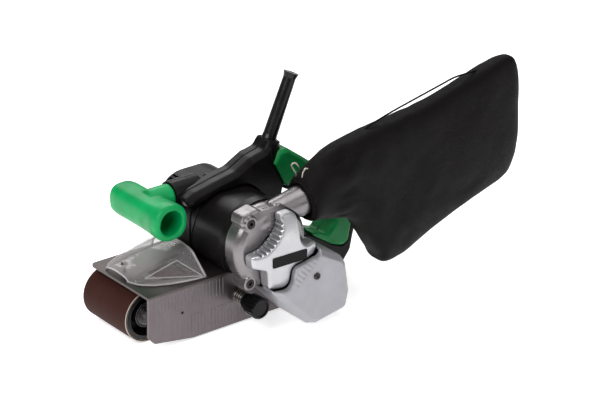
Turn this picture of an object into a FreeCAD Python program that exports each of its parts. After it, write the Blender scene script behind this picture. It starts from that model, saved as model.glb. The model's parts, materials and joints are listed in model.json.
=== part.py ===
"""Handheld belt sander with a transverse motor, a D-handle, a front grip and a dust bag.

Frame: +X towards the rear handle, -Y towards the drive-cover side, +Z up.
Origin: centre of the sanding belt's flat face, which is what the machine rests on.
All sizes are millimetres. Each function makes one piece, or one group of equal pieces.
"""
import FreeCAD, Part
import math
import os

from FreeCAD import Vector

# Belt and rollers
belt_width = 76.0
belt_loop = 533.0
belt_thickness = 1.0
roller_diameter = 55.0
roller_gap = 0.3
crown = 0.8
roller_r = roller_diameter / 2 - roller_gap
belt_r = roller_diameter / 2 + belt_thickness
axle_z = belt_r
axle_x = (belt_loop - math.pi * (roller_diameter + belt_thickness)) / 4
half_belt = belt_width / 2

# Base frame
side_y = -63.0
sheet = 2.5
skirt_low_z = 2.0
plate_top_z = 62.0
plate_front_x = -106.0
plate_rear_x = 74.0
hood_screw = Vector(-90, 2, plate_top_z)
hood_inner_r = 30.5
hood_outer_r = 34.5
plate_far_y = 40.5
wall_near_y = side_y + sheet
wall_far_y = -52.0
beam_far_y = 35.0
rib_pitch = 4.2
rib_width = 1.6
rib_height = 0.4

# Motor
motor_x = 24.0
motor_z = 95.0
barrel_r = 40.0
barrel_wall = 3.5
barrel_near_y = -67.0
seam_y = -12.0
tail_far_y = 59.0
tail_inner_r = 35.5
shaft_r = 5.0
core_r = 18.5
stator_r = 30.5
stator_near_y = -38.0
stator_far_y = 12.0
brush_y = 29.0

# Dust fan housing and drive covers
fan_far_y = -75.0
fan_near_y = -97.0
fan_r = 44.5
fan_wall = 3.5
impeller_r = 39.0
cover_face_y = -114.0
belt_cover_face_y = -119.5
cover_wall = 2.5
pulley_near_y = -109.0
pulley_far_y = -100.0
motor_pulley_r = 7.0
driven_pulley_r = 14.0
timing_belt_t = 2.0

# Dust outlet and bag
outlet_mouth = Vector(78, -82, 128.5)
outlet_angle = 8.0
outlet_length = 66.0
outlet_r = 16.5
bag_y = outlet_mouth.y
bag_half = 17.0

# Handle
handle_y = -12.0
handle_half = 15.0
grip_half = 17.0
guard_base = Vector(82.5, handle_y, 166)
guard_tilt = 24.0
guard_length = 76.0
guard_r = 8.2
guard_flange_r = 9.4
guard_root = 15.0
cord_bore_r = 3.8

# Front grip
grip_axis_x = -58.0
grip_axis_z = 121.5
grip_far_y = 55.0
grip_near_y = -38.0
neck_y = 5.0
neck_z = 130.0
neck_r = 13.0
neck_face_x = -31.0

# Tracking knob and idler mechanism
knob_x = 3.0
knob_z = 33.5
knob_near_y = -105.0
knob_r = 11.5
axle_r = 4.0
fit = 0.05
pivot_x = -46.0

X = Vector(1, 0, 0)
Y = Vector(0, 1, 0)
Z = Vector(0, 0, 1)


def box(x0, x1, y0, y1, z0, z1):
    return Part.makeBox(x1 - x0, y1 - y0, z1 - z0, Vector(x0, y0, z0))


def rod(x, z, radius, y0, y1):
    """Round bar along Y."""
    return Part.makeCylinder(radius, y1 - y0, Vector(x, y0, z), Y)


def ring(x, z, outer, inner, y0, y1):
    return rod(x, z, outer, y0, y1).cut(rod(x, z, inner, y0 - 1, y1 + 1))


def outline(points, y):
    """Closed wire in the plane Y = y; each point is (x, z, corner radius)."""
    count = len(points)
    corners = [Vector(p[0], y, p[1]) for p in points]
    edges = []
    last = None
    first = None
    for i in range(count):
        corner = corners[i]
        to_prev = (corners[i - 1] - corner).normalize()
        to_next = (corners[(i + 1) % count] - corner).normalize()
        radius = points[i][2]
        if radius:
            half = to_prev.getAngle(to_next) / 2
            reach = radius / math.tan(half)
            start = corner + to_prev * reach
            end = corner + to_next * reach
            inward = (to_prev + to_next).normalize()
            middle = corner + inward * (radius / math.sin(half) - radius)
        else:
            start = corner
            end = corner
        if last is not None:
            edges.append(Part.LineSegment(last, start).toShape())
        else:
            first = start
        if radius:
            edges.append(Part.Arc(start, middle, end).toShape())
        last = end
    edges.append(Part.LineSegment(last, first).toShape())
    return Part.Wire(edges)


def prism(points, y0, y1):
    """Rounded outline in XZ, extruded along Y from y0 to y1."""
    face = Part.Face(outline(points, y0))
    return face.extrude(Vector(0, y1 - y0, 0))


def inset(points, distance):
    """The same outline moved inwards; corner radii shrink or grow with it."""
    count = len(points)
    area = 0.0
    for i in range(count):
        x0, z0 = points[i - 1][:2]
        x1, z1 = points[i][:2]
        area += x0 * z1 - x1 * z0
    side = 1.0 if area > 0 else -1.0
    moved = []
    for i in range(count):
        before = points[i - 1]
        here = points[i]
        after = points[(i + 1) % count]
        ax, az = here[0] - before[0], here[1] - before[1]
        bx, bz = after[0] - here[0], after[1] - here[1]
        a_len = math.hypot(ax, az)
        b_len = math.hypot(bx, bz)
        ax, az, bx, bz = ax / a_len, az / a_len, bx / b_len, bz / b_len
        turn = side * (ax * bz - az * bx)
        scale = side * distance / (1 + ax * bx + az * bz)
        x = here[0] - scale * (az + bz)
        z = here[1] + scale * (ax + bx)
        radius = here[2]
        if radius:
            radius = max(0.4, radius - distance if turn > 0 else radius + distance)
        moved.append((x, z, radius))
    return moved


def bevelled(points, y0, y1, bevel, both=True):
    """Prism with a bevel round its face at y0 and, if both, round its face at y1."""
    step = bevel if y1 > y0 else -bevel
    small = inset(points, bevel)
    last = y1 - step if both else y1
    body = prism(points, y0 + step, last)
    near = Part.makeLoft([outline(small, y0), outline(points, y0 + step)], True, True)
    body = body.fuse(near)
    if both:
        far = Part.makeLoft([outline(points, last), outline(small, y1)], True, True)
        body = body.fuse(far)
    return body


def fuse(first, *rest):
    shape = first
    for piece in rest:
        shape = shape.fuse(piece)
    return shape.removeSplitter()


def turned(profile, origin, axis):
    """Solid of revolution; profile is (radius, distance along axis) pairs."""
    points = [Vector(r, 0, h) for r, h in profile]
    points.append(points[0])
    solid = Part.Face(Part.makePolygon(points)).revolve(Vector(0, 0, 0), Z, 360)
    solid.Placement = FreeCAD.Placement(origin, FreeCAD.Rotation(Z, axis))
    return solid


# ---------------------------------------------------------------- belt group

def stadium(radius, y0, y1):
    """Outer shape of a loop that runs round both roller axes."""
    front = rod(-axle_x, axle_z, radius, y0, y1)
    rear = rod(axle_x, axle_z, radius, y0, y1)
    middle = box(-axle_x, axle_x, y0, y1, axle_z - radius, axle_z + radius)
    return fuse(front, rear, middle)


def sanding_belt():
    outer = stadium(belt_r, -half_belt, half_belt)
    return outer.cut(stadium(belt_r - belt_thickness, -half_belt - 1, half_belt + 1))


def platen_pad():
    return box(-52, 56, -36, 34, belt_thickness, belt_thickness + 2)


def platen_plate():
    base = box(-54, 58, -37, 35, belt_thickness + 2, belt_thickness + 3.5)
    lip = box(-55.5, -54, -37, 35, belt_thickness + 2.3, belt_thickness + 6)
    return fuse(base, lip)


def front_roller():
    """Crowned idler: rim, web and two bearing hubs."""
    rim_r = roller_r - crown
    profile = [(roller_r - 5, -half_belt), (rim_r, -half_belt), (roller_r, 0),
               (rim_r, half_belt), (roller_r - 5, half_belt)]
    rim = turned(profile, Vector(-axle_x, 0, axle_z), Y)
    web = ring(-axle_x, axle_z, roller_r - 4.5, 7, -20, 20)
    hub = ring(-axle_x, axle_z, 13.5, 11, -35, 35)
    return fuse(rim, web, hub)


def front_roller_bearings():
    pieces = [ring(-axle_x, axle_z, 11, axle_r + fit, y, y + 7) for y in (-35, 28)]
    return Part.makeCompound(pieces)


def front_axle():
    bar = rod(-axle_x, axle_z, axle_r, -51, 37)
    head = rod(-axle_x, axle_z, 6.5, -54, -51)
    return fuse(bar, head)


def idler_yoke():
    """Single-sided arm that carries the idler axle and swings on a vertical pin."""
    eye = rod(-axle_x, axle_z, 8, -50, -43)
    arm = box(-axle_x, pivot_x + 4, -50, -43, axle_z - 6, axle_z + 6)
    tail = box(pivot_x + 4, knob_x + 6, -50, -45, axle_z - 5, knob_z + 5)
    cross = box(pivot_x - 5, pivot_x + 4, -44, 0, axle_z - 6, axle_z + 6)
    hub = Part.makeCylinder(7, 17, Vector(pivot_x, 0, axle_z - 8.5), Z)
    body = fuse(eye, arm, tail, cross, hub)
    pin_hole = Part.makeCylinder(4 + fit, 30, Vector(pivot_x, 0, axle_z - 15), Z)
    return body.cut(pin_hole).cut(rod(-axle_x, axle_z, axle_r, -60, -40))


def yoke_pin():
    bar = Part.makeCylinder(4, 26, Vector(pivot_x, 0, axle_z - 13), Z)
    head = Part.makeCylinder(6, 1.5, Vector(pivot_x, 0, axle_z + 13), Z)
    return fuse(bar, head)


def tension_slider():
    """Fork round the yoke hub, on a round bar that slides in the frame beam."""
    upper = box(pivot_x - 8, pivot_x + 14, -9, 9, axle_z + 9, axle_z + 13)
    lower = box(pivot_x - 8, pivot_x + 14, -9, 9, axle_z - 13, axle_z - 9)
    web = box(pivot_x + 10, pivot_x + 14, -9, 9, axle_z - 13, axle_z + 13)
    bar = Part.makeCylinder(6, 50, Vector(pivot_x + 12, 0, axle_z), X)
    body = fuse(upper, lower, web, bar)
    return body.cut(Part.makeCylinder(4, 40, Vector(pivot_x, 0, axle_z - 20), Z))


def helix_spring(radius, wire, pitch, turns, origin, axis):
    """Compression spring as a stack of closed coils joined by one helical sweep."""
    path = Part.makeHelix(pitch, pitch * turns, radius)
    section = Part.Wire(Part.makeCircle(wire, Vector(radius, 0, 0), Y))
    coil = Part.Wire(path).makePipeShell([section], True, True)
    coil.Placement = FreeCAD.Placement(origin, FreeCAD.Rotation(Z, axis))
    return coil


def tension_spring():
    start = Vector(pivot_x + 15.2, 0, axle_z)
    return helix_spring(8.2, 1.0, 3.6, 4, start, X)


def tension_lever():
    """Belt release lever, folded flat against the beam on the open side."""
    hub = Part.makeCylinder(5.5, 18, Vector(2, beam_far_y - 10, axle_z - 9), Z)
    blade = prism([(2, axle_z - 6, 0), (58, axle_z - 6, 5), (58, axle_z + 6, 5),
                   (2, axle_z + 6, 0)], beam_far_y - 8, beam_far_y - 3)
    bore = Part.makeCylinder(3 + fit, 40, Vector(2, beam_far_y - 10, axle_z - 20), Z)
    return fuse(hub, blade).cut(bore)


def drive_roller():
    core = ring(axle_x, axle_z, roller_r - 3, 6, -half_belt, 36)
    return core


def drive_tyre():
    return ring(axle_x, axle_z, roller_r, roller_r - 3, -half_belt, 36)


def drive_shaft():
    bar = rod(axle_x, axle_z, 6, pulley_near_y - 3, 37)
    head = rod(axle_x, axle_z, 9, 37, 39)
    return fuse(bar, head)


def shaft_bearings():
    """Ball bearings of the drive shaft and of the armature, each as one ring."""
    pieces = [ring(axle_x, axle_z, 14, 6 + fit, y, y + 8) for y in (-60, -50)]
    pieces.append(ring(motor_x, motor_z, 13, shaft_r + fit, -67, -59))
    pieces.append(ring(motor_x, motor_z, 11, shaft_r + fit, 49, 56))
    return Part.makeCompound(pieces)


def pulley(x, z, tip_r, bore, teeth):
    """Toothed pulley with one flange."""
    body = ring(x, z, tip_r, bore, pulley_near_y, pulley_far_y)
    grooves = []
    for i in range(teeth):
        angle = 2 * math.pi * i / teeth
        gx = x + tip_r * math.cos(angle)
        gz = z + tip_r * math.sin(angle)
        grooves.append(rod(gx, gz, 0.9, pulley_near_y - 1, pulley_far_y + 1))
    flange = ring(x, z, tip_r + 1.2, bore, pulley_far_y, pulley_far_y + 1.5)
    return fuse(body.cut(Part.makeCompound(grooves)), flange)


def driven_pulley():
    return pulley(axle_x, axle_z, driven_pulley_r, 6, 24)


def motor_pulley():
    return pulley(motor_x, motor_z, motor_pulley_r, shaft_r, 14)


def tangent_loop(grow, y0, y1):
    """Solid bounded by the open-belt loop round both pulleys, enlarged by grow."""
    r1 = motor_pulley_r + grow
    r2 = driven_pulley_r + grow
    dx = axle_x - motor_x
    dz = axle_z - motor_z
    distance = math.hypot(dx, dz)
    line = math.atan2(dz, dx)
    lean = math.acos((r1 - r2) / distance)
    corners = []
    for x, z, r, sign in ((motor_x, motor_z, r1, 1), (axle_x, axle_z, r2, 1),
                          (axle_x, axle_z, r2, -1), (motor_x, motor_z, r1, -1)):
        angle = line + sign * lean
        corners.append((x + r * math.cos(angle), z + r * math.sin(angle), 0))
    middle = prism(corners, y0, y1)
    return fuse(middle, rod(motor_x, motor_z, r1, y0, y1), rod(axle_x, axle_z, r2, y0, y1))


def timing_belt():
    outer = tangent_loop(roller_gap + timing_belt_t, pulley_near_y, pulley_far_y - 0.5)
    return outer.cut(tangent_loop(roller_gap, pulley_near_y - 1, pulley_far_y + 1))


# ---------------------------------------------------------------- base frame

def skirt_points():
    return [(plate_front_x, plate_top_z - sheet, 0), (plate_front_x - 1, 18, 4),
            (-100, 9.5, 6), (-52, skirt_low_z, 30), (62, skirt_low_z, 0),
            (115, skirt_low_z, 14), (115, plate_top_z - sheet, 26)]


def side_skirt():
    """Ribbed steel side plate with holes for the drive shaft and the tracking screw."""
    body = prism(skirt_points(), side_y, side_y + sheet)
    ribs = []
    for i in range(20):
        x = -94 + i * rib_pitch
        ribs.append(box(x, x + rib_width, side_y - rib_height, side_y + 1, 40, 58))
    for i in range(18):
        x = -58 + i * rib_pitch
        ribs.append(box(x, x + rib_width, side_y - rib_height, side_y + 1, 8, 28))
    body = fuse(body, *ribs)
    holes = [rod(axle_x, axle_z, 16, side_y - 5, side_y + 5),
             rod(knob_x, knob_z, 5.3, side_y - 5, side_y + 5),
             rod(-65, 34, 1.6, side_y - 5, side_y + 5)]
    return body.cut(Part.makeCompound(holes)).cut(skirt_screws())


def dust_passage():
    """Opening in the top plate through which dust leaves the belt, under the hood."""
    rim = plate_top_z - 5
    passage = Part.Face(Part.makePolygon([Vector(-74, -14, rim), Vector(-37, -2, rim),
                                          Vector(-37, -46, rim), Vector(-70, -38, rim),
                                          Vector(-74, -14, rim)]))
    return passage.extrude(Z * 10)


def top_plate():
    """Flat steel deck over the belt, which carries the motor and the hood."""
    body = box(plate_front_x, plate_rear_x, side_y, plate_far_y, plate_top_z - sheet, plate_top_z)
    body = body.cut(Part.makeCylinder(1.9, 10, hood_screw - Z * 5, Z))
    body = body.cut(dust_passage())
    corners = [edge for edge in body.Edges
               if abs(edge.BoundBox.ZLength - sheet) < 0.01 and edge.BoundBox.YMax > 0]
    return body.makeFillet(5, corners)


def frame_casting():
    """Wall behind the side plate, and the hollow beam inside the belt loop."""
    wall = prism([(-32, 8, 4), (112, 8, 8), (112, plate_top_z - sheet, 22),
                  (-32, plate_top_z - sheet, 0)], wall_near_y, wall_far_y)
    boss = rod(axle_x, axle_z, 18, wall_near_y, -41.5)
    beam = box(-24, 56, wall_far_y, beam_far_y, belt_thickness + 3.5, 50)
    body = fuse(wall, boss, beam)
    hollow = box(-18, 50, wall_far_y + 6, beam_far_y - 14, 9, 46)
    lever_room = box(-8, 60, beam_far_y - 17, beam_far_y + 1, axle_z - 10, axle_z + 10)
    slide_bore = Part.makeCylinder(6 + fit, 44, Vector(-40, 0, axle_z), X)
    web = box(-24, 4, -12, 12, 9, 46)
    shaft_bore = rod(axle_x, axle_z, 14, wall_near_y - 1, -41)
    yoke_room = box(-33, knob_x + 16, wall_far_y, -43, axle_z - 9, knob_z + 10)
    knob_bore = rod(knob_x, knob_z, 5.05, wall_near_y - 1, wall_far_y + 1)
    lever_pin = Part.makeCylinder(3, 24, Vector(2, beam_far_y - 10, axle_z - 12), Z)
    spring_room = Part.makeCylinder(10, 18, Vector(-32, 0, axle_z), X)
    body = body.cut(hollow).fuse(web)
    for tool in (lever_room, slide_bore, shaft_bore, yoke_room, knob_bore, spring_room,
                 skirt_screws()):
        body = body.cut(tool)
    return fuse(body, lever_pin)


def rear_hood():
    """Curved shroud over the drive roller, which also carries the handle's foot."""
    shell = ring(axle_x, axle_z, hood_outer_r, hood_inner_r, wall_far_y, plate_far_y)
    shell = shell.common(box(axle_x, 130, wall_far_y, plate_far_y, 10, 70))
    roof = box(plate_rear_x, axle_x, wall_far_y, plate_far_y, axle_z + hood_inner_r,
               axle_z + hood_outer_r)
    return fuse(shell, roof)


def skirt_screws():
    """Countersunk screws that hold the skirt to the casting, under the belt cover."""
    spots = [Vector(62, side_y - 0.8, 20), Vector(98, side_y - 0.8, 50)]
    pieces = [turned([(0, 0), (2.6, 0), (2.6, 1.4), (1.4, 2.6), (1.4, 7), (0, 7)], spot, Y)
              for spot in spots]
    return Part.makeCompound(pieces)


# ---------------------------------------------------------------- motor

def above_plate(shape):
    return shape.common(box(-150, 220, -150, 150, plate_top_z, 300))


def motor_housing():
    """Near half of the motor casing with its foot on the top plate."""
    inner_r = barrel_r - barrel_wall
    casing = prism(inset(tail_points, 1), barrel_near_y, seam_y)
    foot = box(4, 60, -61, seam_y, plate_top_z, 72)
    casing = above_plate(casing.fuse(foot)).cut(rod(motor_x, motor_z, inner_r, -70, seam_y + 1))
    rib = above_plate(ring(motor_x, motor_z, inner_r + 1, stator_r, -30, -26))
    collar = ring(motor_x, motor_z, 43.3, 13, fan_far_y, barrel_near_y + 2.5)
    bearing_cup = ring(motor_x, motor_z, 16, 13, barrel_near_y - 1, -58)
    return fuse(casing, rib, collar, bearing_cup).cut(outlet_cone(-0.2, 0, 0))


tail_points = [(-18.5, 134, 32), (66.5, 134, 32), (66.5, 60, 20), (-18.5, 60, 20)]


def tail_housing():
    """Far half of the barrel: end dome, air slots and the front grip's bracket."""
    inner_r = tail_inner_r
    dome = bevelled(tail_points, tail_far_y, seam_y, 14, False)
    hollow = turned([(0, -1), (inner_r, -1), (inner_r, 56), (inner_r - 12, 68), (0, 68)],
                    Vector(motor_x, seam_y, motor_z), Y)
    foot = box(-18, 66, seam_y, 38, plate_top_z, 74).cut(rod(motor_x, motor_z, inner_r, -20, 60))
    neck = Part.makeCylinder(15, 34, Vector(neck_face_x, neck_y, neck_z), X)
    neck = neck.cut(rod(motor_x, motor_z, inner_r, -20, 60))
    rib = ring(motor_x, motor_z, barrel_r, stator_r, 4, 8)
    cup = ring(motor_x, motor_z, 14, 11, 48, 58)
    body = above_plate(fuse(dome, foot).cut(hollow))
    body = fuse(body, above_plate(rib), neck, cup)
    corner_x = tail_points[0][0] + tail_points[0][2]
    corner_z = tail_points[0][1] - tail_points[0][2]
    for i in range(5):
        slot = box(corner_x - 40, corner_x - 22, 21, 43, corner_z - 1.1, corner_z + 1.1)
        slot.rotate(Vector(corner_x, 0, corner_z), Y, 31 + 9 * i)
        body = body.cut(slot)
    for i in range(5):
        x = motor_x - 20 + 8 * i
        slot = box(x, x + 4, 54, 70, motor_z - 18, motor_z + 18)
        body = body.cut(slot.cut(rod(motor_x, motor_z, 15, 50, 75)))
    body = body.cut(Part.makeCylinder(3.5, 60, Vector(-45, neck_y, neck_z), X).common(
        box(-60, -4, -50, 50, 0, 200)))
    return body.cut(brush_bores()).removeSplitter()


def brush_bores():
    return Part.makeCylinder(6, 110, Vector(motor_x - 55, brush_y, motor_z), X)


def sided_rods(radius, inner, outer):
    """Two equal bars along X, one each side of the motor axis."""
    rear = Part.makeCylinder(radius, outer - inner, Vector(motor_x + inner, brush_y, motor_z), X)
    front = Part.makeCylinder(radius, outer - inner, Vector(motor_x - outer, brush_y, motor_z), X)
    return rear, front


def brush_holders():
    outer = sided_rods(6, 16, 39.5)
    inner = sided_rods(4, 10, 45)
    return Part.makeCompound([outer[0].cut(inner[0]), outer[1].cut(inner[1])])


def carbon_brushes():
    return Part.makeCompound(list(sided_rods(3.9, 11.6, 26)))


def brush_caps():
    plugs = sided_rods(6, 39.5, 42.5)
    slots = sided_rods(7, 41.7, 44)
    bars = box(motor_x - 60, motor_x + 60, brush_y - 5, brush_y + 5, motor_z - 0.7, motor_z + 0.7)
    return Part.makeCompound([plug.cut(slot.common(bars)) for plug, slot in zip(plugs, slots)])


def armature_shaft():
    return rod(motor_x, motor_z, shaft_r, pulley_near_y - 1.5, 55.5)


def armature_core():
    """Slotted lamination stack with the winding heads at its two ends."""
    core = ring(motor_x, motor_z, core_r, shaft_r, stator_near_y, stator_far_y)
    slots = []
    for i in range(12):
        slot = box(motor_x + 11, motor_x + 17, stator_near_y - 1, stator_far_y + 1,
                   motor_z - 1.6, motor_z + 1.6)
        slot.rotate(Vector(motor_x, 0, motor_z), Y, 30 * i)
        slots.append(slot)
    near = ring(motor_x, motor_z, 16.5, shaft_r, stator_near_y - 9, stator_near_y)
    far = ring(motor_x, motor_z, 16.5, shaft_r, stator_far_y, stator_far_y + 8)
    return Part.makeCompound([core.cut(Part.makeCompound(slots)), near, far])


def commutator():
    return ring(motor_x, motor_z, 11, shaft_r, 21, 38)


def stator_core():
    body = ring(motor_x, motor_z, stator_r, core_r + 1, stator_near_y, stator_far_y)
    pockets = []
    for side in (-1, 1):
        pocket = box(motor_x + side * 22 - 4, motor_x + side * 22 + 4, stator_near_y - 1,
                     stator_far_y + 1, motor_z - 11, motor_z + 11)
        pockets.append(pocket)
    return body.cut(Part.makeCompound(pockets))


def field_coils():
    near = ring(motor_x, motor_z, 29, 20, stator_near_y - 8, stator_near_y)
    far = ring(motor_x, motor_z, 29, 20, stator_far_y, stator_far_y + 6)
    return Part.makeCompound([near, far])


def bladed_disc(hub_r, outer_r, y0, y1, blades, thickness):
    """Radial-blade wheel: a back plate with straight blades."""
    plate = ring(motor_x, motor_z, outer_r, shaft_r, y1 - 2, y1)
    hub = ring(motor_x, motor_z, hub_r, shaft_r, y0, y1)
    shape = fuse(plate, hub)
    for i in range(blades):
        blade = box(motor_x + hub_r - 1, motor_x + outer_r - 1.5, y0, y1 - 1,
                    motor_z - thickness / 2, motor_z + thickness / 2)
        blade.rotate(Vector(motor_x, 0, motor_z), Y, 360.0 * i / blades)
        shape = shape.fuse(blade)
    return shape.removeSplitter()


def cooling_fan():
    return bladed_disc(9, 32, -57.5, -49.5, 12, 1.6)


def dust_impeller():
    return bladed_disc(10, impeller_r, -92.0, -80.0, 9, 2.2)


# ---------------------------------------------------------------- fan housing and covers

def outlet_axis():
    angle = math.radians(outlet_angle)
    return Vector(math.cos(angle), 0, math.sin(angle))


def outlet_cone(shrink, root_extra, mouth_extra):
    """Pipe body: oval where it leaves the fan housing, round at the mouth."""
    axis = outlet_axis()
    root = outlet_mouth - axis * (outlet_length + root_extra)
    mouth = outlet_mouth + axis * mouth_extra
    across = axis.cross(Y)
    oval = Part.Ellipse(root + across * (13 - shrink), root + Y * (12.5 - shrink), root)
    circle = Part.Circle(mouth, axis, outlet_r - shrink)
    lower = Part.Wire(oval.toShape())
    upper = Part.Wire(circle.toShape())
    return Part.makeLoft([lower, upper], True)


def fan_shell():
    """Dished disc, flat on top where the outlet leaves it, with a shoulder at the front."""
    depth = fan_far_y - fan_near_y
    shell = turned([(0, 0), (fan_r, 0), (fan_r, depth - 8), (fan_r - 2, depth - 3.5),
                    (fan_r - 7, depth), (0, depth)],
                   Vector(motor_x, fan_far_y, motor_z), Vector(0, -1, 0))
    shell = shell.cut(box(motor_x - 50, motor_x + 40, fan_near_y - 1, fan_far_y + 1, 136, 150))
    shoulder = prism([(-13, 123, 3), (-11, 135, 4), (9, 139.5, 5), (18, 124, 0)], -93, fan_far_y)
    return fuse(shell, shoulder)


def screw_spots():
    """Centres of the screws round the fan housing's rim."""
    return [(-2.5, 126.5), (-4.5, 61.0), (57.5, 62.5)]


def fan_housing():
    """Cast housing of the dust fan, with the bosses for its screws."""
    body = fan_shell()
    for x, z in screw_spots():
        body = body.fuse(rod(x, z, 7.5, fan_near_y, fan_far_y))
    body = body.cut(outlet_cone(0, 0, 0))
    body = body.cut(rod(motor_x, motor_z, fan_r - fan_wall, fan_near_y + fan_wall, fan_far_y - 3))
    body = body.cut(rod(motor_x, motor_z, 14, fan_near_y - 1, fan_far_y + 1))
    for x, z in screw_spots():
        body = body.cut(rod(x, z, 4.6, fan_near_y - 1, fan_near_y + 4))
        body = body.cut(rod(x, z, 2.0, fan_near_y - 1, fan_far_y - 1))
    return body.removeSplitter()


def outlet_pipe():
    body = outlet_cone(0, 0, 0).cut(outlet_cone(2.2, 4, 4))
    inside = rod(motor_x, motor_z, fan_r - fan_wall, fan_near_y, fan_far_y + 8)
    body = body.cut(inside)
    return max(body.Solids, key=lambda solid: solid.Volume)


lobe_points = [(26, 132.5, 2.4), (46, 132.5, 9), (48, 92, 12), (71, 93, 6), (71, 79, 7),
               (36, 74, 8), (33, 51, 9), (9, 54, 7), (6, 77, 8), (-11, 84, 5),
               (-11.5, 96.5, 3), (26, 96.5, 32)]


def pulley_cover():
    """Four-lobed cast cover over the motor pulley, finned on its concave side."""
    body = bevelled(lobe_points, cover_face_y, fan_near_y, 2.4, False)
    inside_y = cover_face_y + cover_wall
    arc_x, arc_z, arc_r = 26 - 32, 96.5 + 32, 32
    room = prism(inset(lobe_points, 3), inside_y, fan_near_y + 1)
    body = body.cut(room.cut(rod(arc_x, arc_z, arc_r + 5.5, cover_face_y, fan_near_y + 2)))
    body = body.cut(tangent_loop(roller_gap + timing_belt_t + 0.6, inside_y, fan_near_y + 1))
    for i in range(9):
        groove = box(arc_x, arc_x + arc_r + 2.4, cover_face_y + 1.2, fan_near_y - 0.5,
                     arc_z - 1.35, arc_z + 1.35)
        groove.rotate(Vector(arc_x, 0, arc_z), Y, 8 + 9.25 * i)
        body = body.cut(groove)
    return max(body.Solids, key=lambda solid: solid.Volume)


def name_plate():
    return prism([(11, 80, 1), (54, 79, 1), (54, 90, 1), (11, 91, 1)],
                 cover_face_y - 0.8, cover_face_y)


belt_cover_points = [(9, 53, 3), (53, 6, 5), (66, 2.5, 4), (105, 9, 7), (109, 28, 8),
                     (104, 60, 10), (98, 70, 6), (68, 87, 5), (34, 94, 3)]


cover_screw_x = 63.0
cover_screw_z = 58.5


def belt_cover():
    """Polygonal cover over the timing belt, from the side plate outwards."""
    body = bevelled(belt_cover_points, belt_cover_face_y, side_y, 6, False)
    inside_y = belt_cover_face_y + cover_wall
    inside = bevelled(inset(belt_cover_points, cover_wall), inside_y, side_y + 1, 5, False)
    rim = prism(inset(lobe_points, -cover_wall), belt_cover_face_y, cover_face_y + cover_wall)
    body = body.cut(inside.cut(rim))
    body = body.cut(prism(lobe_points, belt_cover_face_y - 1, fan_near_y))
    body = body.cut(rod(motor_x, motor_z, fan_r + 0.2, fan_near_y, side_y + 1))
    for x, z in screw_spots():
        body = body.cut(rod(x, z, 7.7, fan_near_y, side_y + 1))
    for i in range(8):
        x = 36 + i * 3.7
        z = 58 + i * 3.1
        slot = box(x - 6, x + 6, belt_cover_face_y - 1, belt_cover_face_y + 1.2, z - 0.9, z + 0.9)
        slot.rotate(Vector(x, 0, z), Y, 42)
        body = body.cut(slot)
    body = body.cut(rod(cover_screw_x, cover_screw_z, 2.1, belt_cover_face_y - 1, -110))
    return max(body.Solids, key=lambda solid: solid.Volume)


def cover_screws():
    """Screws of the fan housing's rim, the belt cover and the clear hood."""
    pieces = []
    for x, z in screw_spots():
        head = rod(x, z, 4.4, fan_near_y, fan_near_y + 4)
        socket = rod(x, z, 2.2, fan_near_y - 1, fan_near_y + 2.5)
        shank = rod(x, z, 2.0, fan_near_y + 4, fan_far_y - 2)
        pieces.append(fuse(head, shank).cut(socket))
    x, z = cover_screw_x, cover_screw_z
    head = rod(x, z, 3.6, belt_cover_face_y - 1.2, belt_cover_face_y)
    shank = rod(x, z, 2.0, belt_cover_face_y, belt_cover_face_y + 8)
    socket = rod(x, z, 1.6, belt_cover_face_y - 2, belt_cover_face_y - 0.2)
    pieces.append(fuse(head, shank).cut(socket))
    head = Part.makeCylinder(3.6, 2, hood_screw + Z * 8.5, Z)
    shank = Part.makeCylinder(1.9, 11, hood_screw - Z * 2.5, Z)
    pieces.append(fuse(head, shank))
    return Part.makeCompound(pieces)


# ---------------------------------------------------------------- tracking knob

def tracking_knob():
    """Fluted knob with its collar; it turns on the tracking screw's axis."""
    body = turned([(0, 0), (knob_r - 1.5, 0), (knob_r, 1.5), (knob_r, 16), (0, 16)],
                  Vector(knob_x, knob_near_y, knob_z), Y)
    for i in range(16):
        angle = 2 * math.pi * i / 16
        x = knob_x + (knob_r + 0.6) * math.cos(angle)
        z = knob_z + (knob_r + 0.6) * math.sin(angle)
        body = body.cut(rod(x, z, 1.4, knob_near_y - 1, knob_near_y + 11))
    dish = rod(knob_x, knob_z, 8.5, knob_near_y - 1, knob_near_y + 1.2)
    neck = rod(knob_x, knob_z, 8.5, knob_near_y + 16, knob_near_y + 24)
    bore = rod(knob_x, knob_z, 5, knob_near_y + 4, knob_near_y + 30)
    return fuse(body.cut(dish), neck).cut(bore)


def tracking_screw():
    return rod(knob_x, knob_z, 5, knob_near_y + 4, wall_far_y + 0.7)


def tracking_spring():
    """Coil between the side plate and the knob's collar."""
    start = Vector(knob_x, knob_near_y + 25.5, knob_z)
    return helix_spring(7.0, 1.1, 3.2, 4, start, Y)


# ---------------------------------------------------------------- grips and handle

def front_grip():
    """Transverse grip with a hollow, flared near end and a side neck."""
    length = grip_far_y - grip_near_y
    profile = [(0, 0), (18.5, 0), (20, 2), (20, 12), (18.6, 26), (18, 45), (18, length - 14),
               (17, length - 6), (13, length - 1), (8, length), (0, length)]
    body = turned(profile, Vector(grip_axis_x, grip_near_y, grip_axis_z), Y)
    hollow = turned([(0, -1), (13.5, -1), (12.6, 30), (12, 66), (0, 66)],
                    Vector(grip_axis_x, grip_near_y, grip_axis_z), Y)
    neck = Part.makeCylinder(neck_r, neck_face_x - grip_axis_x, Vector(grip_axis_x, neck_y, neck_z), X)
    neck = neck.common(box(-80, neck_face_x, -50, 50, grip_axis_z - 14, 160))
    bolt_hole = Part.makeCylinder(3.5, 40, Vector(grip_axis_x, neck_y, neck_z), X)
    head_hole = Part.makeCylinder(5.3, 7, Vector(grip_axis_x, neck_y, neck_z), X)
    return fuse(body, neck).cut(hollow).cut(bolt_hole).cut(head_hole).removeSplitter()


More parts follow.
